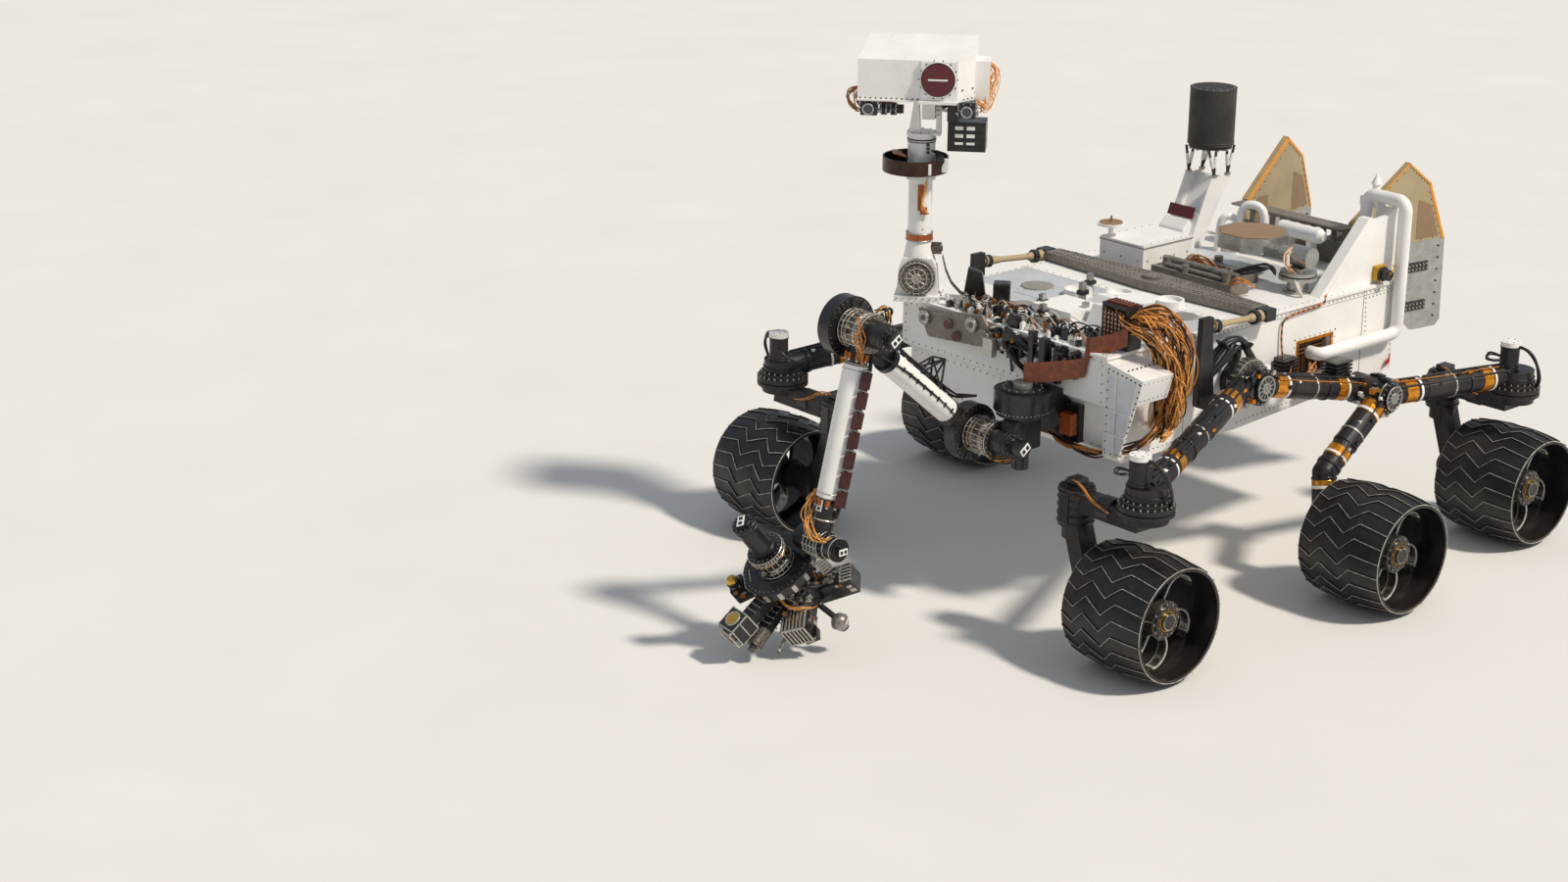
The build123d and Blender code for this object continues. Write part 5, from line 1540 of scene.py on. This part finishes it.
def dressForearm():
    covers, clips, blocks, bright = newMeshes(4)
    for x in range(150, 620, 78):
        addBox(covers, foreFrame, (x, 260, -30), (x + 66, 268, 26))
        addBox(clips, foreFrame, (x - 10, 244, -4), (x - 4, 284, 3))
    for x in (150, 640):
        addTorus(clips, foreFrame, (x, forearm["y"], 0), forward, 50.5, 2, 40, 5)
    dressForearmEnds(blocks, bright)
    dressForearmSleeves(bright)
    addPiece("forearmCovers", covers, "coverRed", "forearm", bevel=3)
    addPiece("forearmClips", clips, "silverMetal", "forearm", bevel=0.8)
    addPiece("forearmConnectors", blocks, "amberBlock", "forearm", bevel=1.5)
    addPiece("forearmFittings", bright, "gearTrim", "forearm", bevel=0.8)
    for name, look, thick, run, count, spread, seed in (
            ("Cables", "blackCable", 4, "side", 6, 8, 41), ("Wires", "amberWire", 2.2, "side", 3, 10, 42),
            ("EndWires", "orangeWire", 2, "low", 8, 26, 43), ("TopWires", "amberWire", 2, "high", 8, 24, 44)):
        wires = bundle(forearm[run], count, spread, seed)
        addWires("forearm" + name, look, thick, wires, "forearm", foreFrame)


# Wires and loops round the shoulder, the elbow and the azimuth drum: body, seed, spread, route
armLoops = {
    "elbowLoop": ("forearm", 51, 24, [(1930, 250, 1392), (1900, 262, 1410), (1860, 250, 1380),
                                      (1868, 240, 1300), (1900, 250, 1232)]),
    "shoulderLoop": ("arm_shoulder", 52, 24, [(1200, 262, 800), (1190, 300, 760), (1200, 320, 690),
                                              (1250, 300, 656), (1300, 262, 664)]),
    "azimuthLoop": ("rover_body", 53, 12, [(1080, 246, 800), (1090, 240, 750), (1076, 244, 700),
                                           (1054, 254, 704), (1032, 258, 740)]),
}
dressDiscs()
dressUpperArm()
dressForearm()
for name, (body, seed, spread, route) in armLoops.items():
    addWires(name + "Amber", "orangeWire", 2, bundle(route, 5, spread, seed), body)
    addWires(name + "Black", "blackCable", 3, bundle(route, 6, spread, seed + 10), body)
print("arm done")


# Turret: everything is placed from its middle outwards, at an angle round it
def onTurret(angle):
    return turned(turretFrame, 0, 0, 0, angle)


def dressTurretPlate():
    bolts, rim, clips = newMeshes(3)
    boltRing(bolts, turretFrame, (0, 0, 22), up, 139, 40, 3, 2.5)
    for z in (-21, 20):
        addTorus(rim, turretFrame, (0, 0, z), up, 149.5, 2.6, 72, 5)
    addTorus(rim, turretFrame, (0, 0, 22), up, 92, 3, 60, 5)
    for angle in range(20, 340, 24):
        addBox(clips, onTurret(angle), (146, -9, -20), (157, 9, 14))
    addPiece("turretPlateBolts", bolts, "silverBolt", "wrist")
    addPiece("turretPlateRim", rim, "darkBolt", "wrist", smooth=True)
    addPiece("turretPlateClips", clips, "gearTrim", "wrist", bevel=1)


# Tools of the turret: angles of each, and the pieces that they share: part of the name, look, finish
toolAngles = {"deepBox": 35, "lensBox": -6, "roundCamera": -40, "ball": 85, "spike": 14}
toolPieces = {
    "Ribs": ("gearTrim", {"bevel": 1}), "Gold": ("goldLens", {"smooth": True}),
    "Ball": ("toolMetal", {"smooth": True}), "Shade": ("motorBlack", {"bevel": 0.5}),
    "Glass": ("lensGlass", {}), "Sockets": ("motorBlack", {"bevel": 1}),
    "Trim": ("gearTrim", {"smooth": True}),
}


def dressDeepBox(meshes):
    ribs, tool = meshes["Ribs"], onTurret(toolAngles["deepBox"])
    for y in range(-48, 49, 16):
        addBox(ribs, tool, (100, y - 3, -151), (209, y + 3, -144))
        addBox(ribs, tool, (204, y - 3, -238), (211, y + 3, -146))
    for z in (-241, -151):
        for y in (-54, 48):
            addBox(ribs, tool, (96, y, z), (211, y + 6, z + 7))
        for x in (96, 204):
            addBox(ribs, tool, (x, -54, z), (x + 7, 54, z + 7))
    addBox(meshes["Gold"], tool, (130, -20, -149), (176, 14, -145))


# Box with a gold lens at its end: guard rods, dark shade, ribs along the edges, round cap on top
def dressLensBox(meshes):
    ribs, gold, bright, shade = [meshes[key] for key in ("Ribs", "Gold", "Trim", "Shade")]
    lens = onTurret(toolAngles["lensBox"])
    addRod(gold, lens, (334, 0, -42), (337, 0, -42), 26, 32)
    for y in (-40, 40):
        addRod(bright, lens, (322, y, -84), (340, y, -84), 5, 8)
        addRod(bright, lens, (322, y, -6), (340, y, -6), 5, 8)
        addRod(bright, lens, (340, y, -84), (340, y, -6), 4, 6)
    for z in (-84, -6):
        addRod(bright, lens, (340, -40, z), (340, 40, z), 4, 6)
    for low, high in (((233, -46.5, -91), (322.5, 46.5, -88)), ((233, -46.5, -2), (322.5, 46.5, 1.5)),
                      ((233, -46.5, -91), (322.5, -44.5, 1)), ((233, 44.5, -91), (322.5, 46.5, 1)),
                      ((321.5, -46.5, -91), (323.5, 46.5, 1))):
        addBox(shade, lens, low, high)
    for y in (-48, 43):
        for z in (-92, -3):
            addBox(ribs, lens, (232, y, z), (325, y + 5, z + 5))
        for x in (232, 276, 320):
            addBox(ribs, lens, (x, y, -92), (x + 5, y + 5, 2))
    for x in (232, 320):
        for z in (-92, -3):
            addBox(ribs, lens, (x, -48, z), (x + 5, 48, z + 5))
    addRod(gold, lens, (276, 0, 1), (276, 0, 6), 27, 28)
    addTorus(bright, lens, (276, 0, 4), up, 30, 3.5, 36, 6)


def dressToolArms(meshes):
    for angle, low, high in ((4, -152, -104), (-6, -90, -39), (-40, -61, 21)):
        for x in range(110, 214, 26):
            addBox(meshes["Trim"], onTurret(angle), (x, -34, low), (x + 5, 34, low + 4))
            addBox(meshes["Ribs"], onTurret(angle), (x + 9, -32, high - 2), (x + 13, 32, high + 3))


def addBall(mesh, place, centre, radius, around, rows):
    bmesh.ops.create_uvsphere(mesh, u_segments=around, v_segments=rows, radius=radius,
                              matrix=place @ Matrix.Translation(centre))


def dressRoundCamera(meshes):
    tool = onTurret(toolAngles["roundCamera"])
    addBall(meshes["Gold"], tool, (192, 0, 40), 24, 24, 14)
    addRod(meshes["Sockets"], tool, (192, 0, 16), (192, 0, 36), 27, 24)
    for y in (-30, -10, 10, 30):
        addBox(meshes["Ribs"], tool, (210, y - 3, -58), (219, y + 3, 16))


def dressBall(meshes):
    tool, bright = onTurret(toolAngles["ball"]), meshes["Trim"]
    addRod(meshes["Glass"], tool, (171, 0, -313), (171, 0, -318), 22, 24)
    addBall(meshes["Ball"], tool, (171, 0, -279), 34.8, 32, 18)
    addRod(bright, onTurret(toolAngles["spike"]), (120, 0, -209.8), (261, 0, -216), 8, 14)
    addTorus(bright, tool, (171, 0, -279), up, 34, 4, 40, 6)
    addTorus(bright, tool, (171, 0, -300), up, 27, 3, 36, 6)


def dressCoreTops(meshes):
    for angle, reach in ((130, 236), (160, 160), (200, 150), (-70, 150), (-100, 150)):
        side = onTurret(angle)
        for y in range(-40, 41, 16):
            addBox(meshes["Ribs"], side, (reach - 50, y - 3, -154), (reach, y + 3, -144))
        boltLine(meshes["Trim"], side, (reach - 46, -36, -146), (reach - 46, 36, -146), 5, up, 4, 5)


def dressTurretTools():
    meshes = {key: bmesh.new() for key in toolPieces}
    dressDeepBox(meshes)
    dressLensBox(meshes)
    dressToolArms(meshes)
    dressRoundCamera(meshes)
    dressBall(meshes)
    dressCoreTops(meshes)
    for key, (look, finish) in toolPieces.items():
        addPiece("turret" + key, meshes[key], look, "turret", **finish)


# Small units on the faces of three of the tools
toolCases = {
    "seed": 91, "units": 36, "looks": ["toolMetal", "gearTrim", "motorBlack", "amberBlock"],
    # places: angle, x from, x to, half width, z from, z to
    "places": [(130, 110, 235, 45, -235, -150), (-40, 160, 215, 35, -60, 20), (35, 110, 205, 50, -235, -150)],
}


def dressToolCases():
    chance = random.Random(toolCases["seed"])
    looks = toolCases["looks"]
    meshes = {look: bmesh.new() for look in looks}
    for angle, inner, outer, half, low, high in toolCases["places"]:
        side = onTurret(angle)
        for i in range(toolCases["units"]):
            mesh = meshes[looks[3 if i % 9 == 4 else i % 3]]
            size, lift = chance.uniform(10, 26), chance.uniform(1.5, 5)
            x, z = chance.uniform(inner, outer - size), chance.uniform(low, high - size)
            y = chance.uniform(-half, half - size)
            if i % 3 == 0:
                addBox(mesh, side, (x, y, high - 4), (x + size, y + size * 0.7, high + lift))
            else:
                way = (-1, 1)[i % 2]
                inside, outside = sorted((way * (half - 4), way * (half + lift)))
                addBox(mesh, side, (x, inside, z), (x + size, outside, z + size * 0.8))
    for look, mesh in meshes.items():
        addPiece("toolCases_" + look, mesh, look, "turret", bevel=1)


# Core of the turret: units all round it, and wires, each bundle with its angle and look
turretCore = {
    "seed": 77, "units": 90, "turn": 37,
    "looks": ["gearTrim", "toolMetal", "motorBlack", "copperCoil", "silverBolt"],
    "wires": [(10, "orangeWire"), (70, "blackCable"), (-60, "amberWire"), (110, "blackCable"),
              (-100, "whiteCable"), (50, "orangeWire")],
}


def dressTurretCore():
    chance = random.Random(turretCore["seed"])
    looks = turretCore["looks"]
    meshes = {look: bmesh.new() for look in looks}
    for i in range(turretCore["units"]):
        mesh = meshes[looks[i % len(looks)]]
        place = onTurret(i * turretCore["turn"] % 360)
        size, z, depth = chance.uniform(9, 26), chance.uniform(-205, -50), chance.uniform(6, 22)
        if i % 3 == 0:
            addRod(mesh, place, (88, 0, z), (95 + depth, 0, z), size / 2, 12)
        else:
            addBox(mesh, place, (86, -size / 2, z), (95 + depth, size / 2, z + size))
    for look, mesh in meshes.items():
        addPiece("turretCore_" + look, mesh, look, "turret", bevel=1)
    for index, (angle, look) in enumerate(turretCore["wires"]):
        route = [spun(angle - 34, 98, -60), spun(angle - 20, 128, -90), spun(angle, 132, -130),
                 spun(angle + 16, 122, -170), spun(angle + 30, 100, -200)]
        addWires("turretWires_%d" % index, look, 3, bundle(route, 4, 9, index + 61), "turret", turretFrame)


dressTurretPlate()
dressTurretTools()
dressToolCases()
dressTurretCore()
print("turret done")


# Tray at the rear edge of the deck: white housing with a cable opening and a red label
def dressTray(dark, bright):
    label, housing = newMeshes(2)
    addPrism(label, rover, [(-566, -500, 1240), (-586, -500, 1290), (-586, -350, 1290),
                            (-566, -350, 1240)], (3, 0, 1))
    addPrism(housing, rover, [(-530, -505, 1113), (-500, -505, 1130), (-512, -505, 1196),
                              (-562, -505, 1240), (-576, -505, 1196)], (0, 150, 0))
    addTorus(bright, rover, (-504, -430, 1160), (1, 0, 0.18), 18, 3, 28, 6)
    # The cable opening is a dark disc: painted shade
    addRod(dark, rover, (-510, -430, 1159), (-503, -430, 1160), 17, 24)
    addPiece("trayLabel", label, "redCover")
    addPiece("trayHousing", housing, "whitePaint", bevel=10)


# Antenna: rings, bolts, and legs in pairs with white sleeves
antenna = {"x": -715, "y": -395, "rings": (1568, 1578, 1822), "top": 1824, "bottom": 1550,
           "legsX": (-772, -680), "legsY": ((-486, -1), (-334, 1)), "legFoot": 1428, "legTop": 1556}


def dressAntennaLegs(sleeves, bright):
    x, y = antenna["x"], antenna["y"]
    for px in antenna["legsX"]:
        way = 1 if px > x else -1
        for py, edge in antenna["legsY"]:
            foot = Vector((px, py, antenna["legFoot"]))
            for lean in (-1, 1):
                top = Vector((x + 62 * way + 26 * lean, y + 66 * edge, antenna["legTop"]))
                addRod(sleeves, rover, foot.lerp(top, 0.3), foot.lerp(top, 0.72), 8, 8)
            addBox(bright, rover, (px - 15, py - 7, 1420), (px + 15, py + 7, 1432))


def dressAntenna():
    dark, bright, sleeves = newMeshes(3)
    x, y = antenna["x"], antenna["y"]
    dressTray(dark, bright)
    for z in antenna["rings"]:
        addTorus(dark, rover, (x, y, z), up, 104.5, 2.2, 64, 5)
    boltRing(bright, rover, (x, y, antenna["top"]), up, 94, 18, 3.6, 3)
    boltRing(bright, rover, (x, y, antenna["bottom"]), down, 88, 18, 4.5, 5)
    for angle in range(0, 360, 30):
        across, along, z = spun(angle, 92, 1552)
        addBox(bright, rover, (x - 7 + across, y - 7 + along, z - 8), (x + 7 + across, y + 7 + along, z))
    dressAntennaLegs(sleeves, bright)
    addPiece("antennaRings", dark, "antennaBlack", smooth=True)
    addPiece("antennaBolts", bright, "silverBolt", bevel=0.6)
    addPiece("antennaSleeves", sleeves, "plainWhite")


# Wings at the rear: gold tape along three edges, bolts along four, tan patches, panel strips
wing = {
    "hingeX": -850, "hingeY": 300, "splay": 8.0, "tapedEdges": 3,
    "tapes": {"left": (9, 9, 14, 6), "right": (26, 12, 9, 6)},
    "outline": [(-868, 1300), (-1195, 1540), (-1340, 1430), (-1450, 1166), (-868, 1166)],
    "patches": [[(-60, 1180), (-200, 1180), (-200, 1290), (-110, 1290)],
                [(-420, 1180), (-560, 1180), (-500, 1330), (-420, 1360)]],
    "boltColumns": (-190, -380, -570), "strips": (842, 1024),
}


def dressWingEdges(tape, bolts, place, widths):
    outline = [(x - wing["hingeX"], z) for x, z in wing["outline"]]
    for i, (x0, z0) in enumerate(outline[:4]):
        x1, z1 = outline[i + 1]
        run = Vector((x1 - x0, 0, z1 - z0))
        inward = Vector((run.z, 0, -run.x)).normalized() * -widths[i]
        if i < wing["tapedEdges"]:
            for face in (-14, 12):
                addPrism(tape, place, [(x0, face, z0), (x1, face, z1),
                                       (x1 + inward.x, face, z1 + inward.z),
                                       (x0 + inward.x, face, z0 + inward.z)], (0, 2, 0))
        for face, way in ((-12, -1), (12, 1)):
            start = Vector((x0 + inward.x * 1.6, face, z0 + inward.z * 1.6))
            end = Vector((x1 + inward.x * 1.6, face, z1 + inward.z * 1.6))
            addBolts(bolts, place, rowOf(start, end, 9)[1:-1], (0, way, 0), 3, 2)


def dressWing(side, name):
    place = turned(rover, wing["hingeX"], wing["hingeY"] * side, 0, -wing["splay"] * side)
    tape, patches, bolts, strips, pins = newMeshes(5)
    dressWingEdges(tape, bolts, place, wing["tapes"][name])
    for face, way in ((-13.5, -1), (12, 1)):
        for patch in wing["patches"]:
            addPrism(patches, place, [(x, face, z) for x, z in patch], (0, 1.5, 0))
        for x in wing["boltColumns"]:
            boltLine(bolts, place, (x, face, 800), (x, face, 1130), 7, (0, way, 0), 5, 3)
    for z in wing["strips"]:
        addBox(strips, place, (-510, -17, z), (-350, 17, z + 44))
        for x in range(-498, -360, 22):
            for lift in (14, 32):
                addRod(pins, place, (x, -22, z + lift), (x, 22, z + lift), 5, 8)
    addPiece(name + "WingTape", tape, "goldTape")
    addPiece(name + "WingPatches", patches, "tanTop")
    addPiece(name + "WingBolts", bolts, "darkBolt")
    addPiece(name + "PanelStrips", strips, "motorBlack", bevel=2)
    addPiece(name + "PanelPins", pins, "silverBolt")


# Power source: bolts and rings at its ends, bolts and bright edges along the fins
def dressPowerSource():
    place = turned(rover, -1190, 0, 880, -84, "Y")
    bolts, rings, bright = newMeshes(3)
    for z, way in ((292, 1), (-292, -1)):
        addBolts(bolts, place, circleOf((0, 0, z), up, 96, 16), (0, 0, way), 5, 4)
        addTorus(rings, place, (0, 0, z), up, 70, 4, 48, 6)
    for z in (-250, 250):
        addTorus(rings, place, (0, 0, z), up, 136, 5, 64, 6)
    addTorus(bright, place, (0, 0, 294), up, 34, 5, 36, 6)
    for angle in range(0, 360, 45):
        turn = turned(place, 0, 0, 0, angle)
        for z in range(-230, 231, 46):
            addRod(bolts, turn, (160, -8, z), (160, 8, z), 4, 6)
        addRod(bright, turn, (246, 0, -250), (246, 0, 250), 4.5, 6)
    addPiece("powerBolts", bolts, "silverBolt")
    addPiece("powerRings", rings, "darkFins", smooth=True)
    addPiece("powerFinEdges", bright, "darkBolt")


dressAntenna()
dressWing(1, "left")
dressWing(-1, "right")
dressPowerSource()
print("rear done")

# Camera, at the photo's place and angle: place in mm, angles in degrees
view = {"place": (8663.7, 7513.6, 4230.5), "yaw": -130.82, "pitch": -18.75, "roll": 0.47,
        "lens": 62.28, "sensor": 36.0}


def addCamera():
    camera = bpy.data.objects.new("camera", bpy.data.cameras.new("camera"))
    bpy.context.scene.collection.objects.link(camera)
    camera.data.lens = view["lens"]
    camera.data.sensor_width = view["sensor"]
    yaw, pitch, roll = [radians(view[key]) for key in ("yaw", "pitch", "roll")]
    look = Vector((cos(pitch) * cos(yaw), cos(pitch) * sin(yaw), sin(pitch)))
    level = look.cross(Vector((0, 0, 1))).normalized()
    above = level.cross(look)
    across = cos(roll) * level + sin(roll) * above
    above = cos(roll) * above - sin(roll) * level
    turn = Matrix((across, above, -look)).transposed()
    camera.matrix_world = Matrix.Translation(at(*view["place"])) @ turn.to_4x4()
    bpy.context.scene.camera = camera


# Floor just under the wheels, pale and matt
def addFloor():
    mesh = bmesh.new()
    bmesh.ops.create_grid(mesh, x_segments=1, y_segments=1, size=40,
                          matrix=Matrix.Translation((0, 0, -0.005)))
    floorMesh = bpy.data.meshes.new("floor")
    mesh.to_mesh(floorMesh)
    mesh.free()
    floor = bpy.data.objects.new("floor", floorMesh)
    bpy.context.scene.collection.objects.link(floor)
    floorMesh.materials.append(makeMaterial("floorPale", "#e0dedb", "#dad8d4", 900, 0.85, dirt=0.0, bump=0.0))


# Soft warm sun, from the camera's right and a little behind it
def addSun():
    sun = bpy.data.objects.new("sun", bpy.data.lights.new("sun", "SUN"))
    sun.data.energy = 3.3
    sun.data.angle = radians(6)
    sun.data.color = linear("#fff6e8")[:3]
    sun.rotation_euler = Vector((0.35, -0.95, -1.25)).to_track_quat("-Z", "Y").to_euler()
    bpy.context.scene.collection.objects.link(sun)


# Sky light on the pieces, plain white behind them
def addWorld():
    world = bpy.data.worlds.new("world")
    bpy.context.scene.world = world
    world.use_nodes = True
    tree = world.node_tree
    tree.nodes.clear()
    path = addNode(tree, "ShaderNodeLightPath")
    skyLight = addNode(tree, "ShaderNodeBackground", {"Color": linear("#dfe6f0"), "Strength": 0.5})
    white = addNode(tree, "ShaderNodeBackground", {"Color": linear("#ffffff"), "Strength": 1.0})
    mixed = addNode(tree, "ShaderNodeMixShader", {}, {0: path.outputs["Is Camera Ray"],
                                                      1: skyLight.outputs[0], 2: white.outputs[0]})
    addNode(tree, "ShaderNodeOutputWorld", {}, {"Surface": mixed.outputs[0]})
    bpy.context.scene.view_settings.view_transform = "Standard"


addCamera()
addFloor()
addSun()
addWorld()
print("camera, floor and light done")
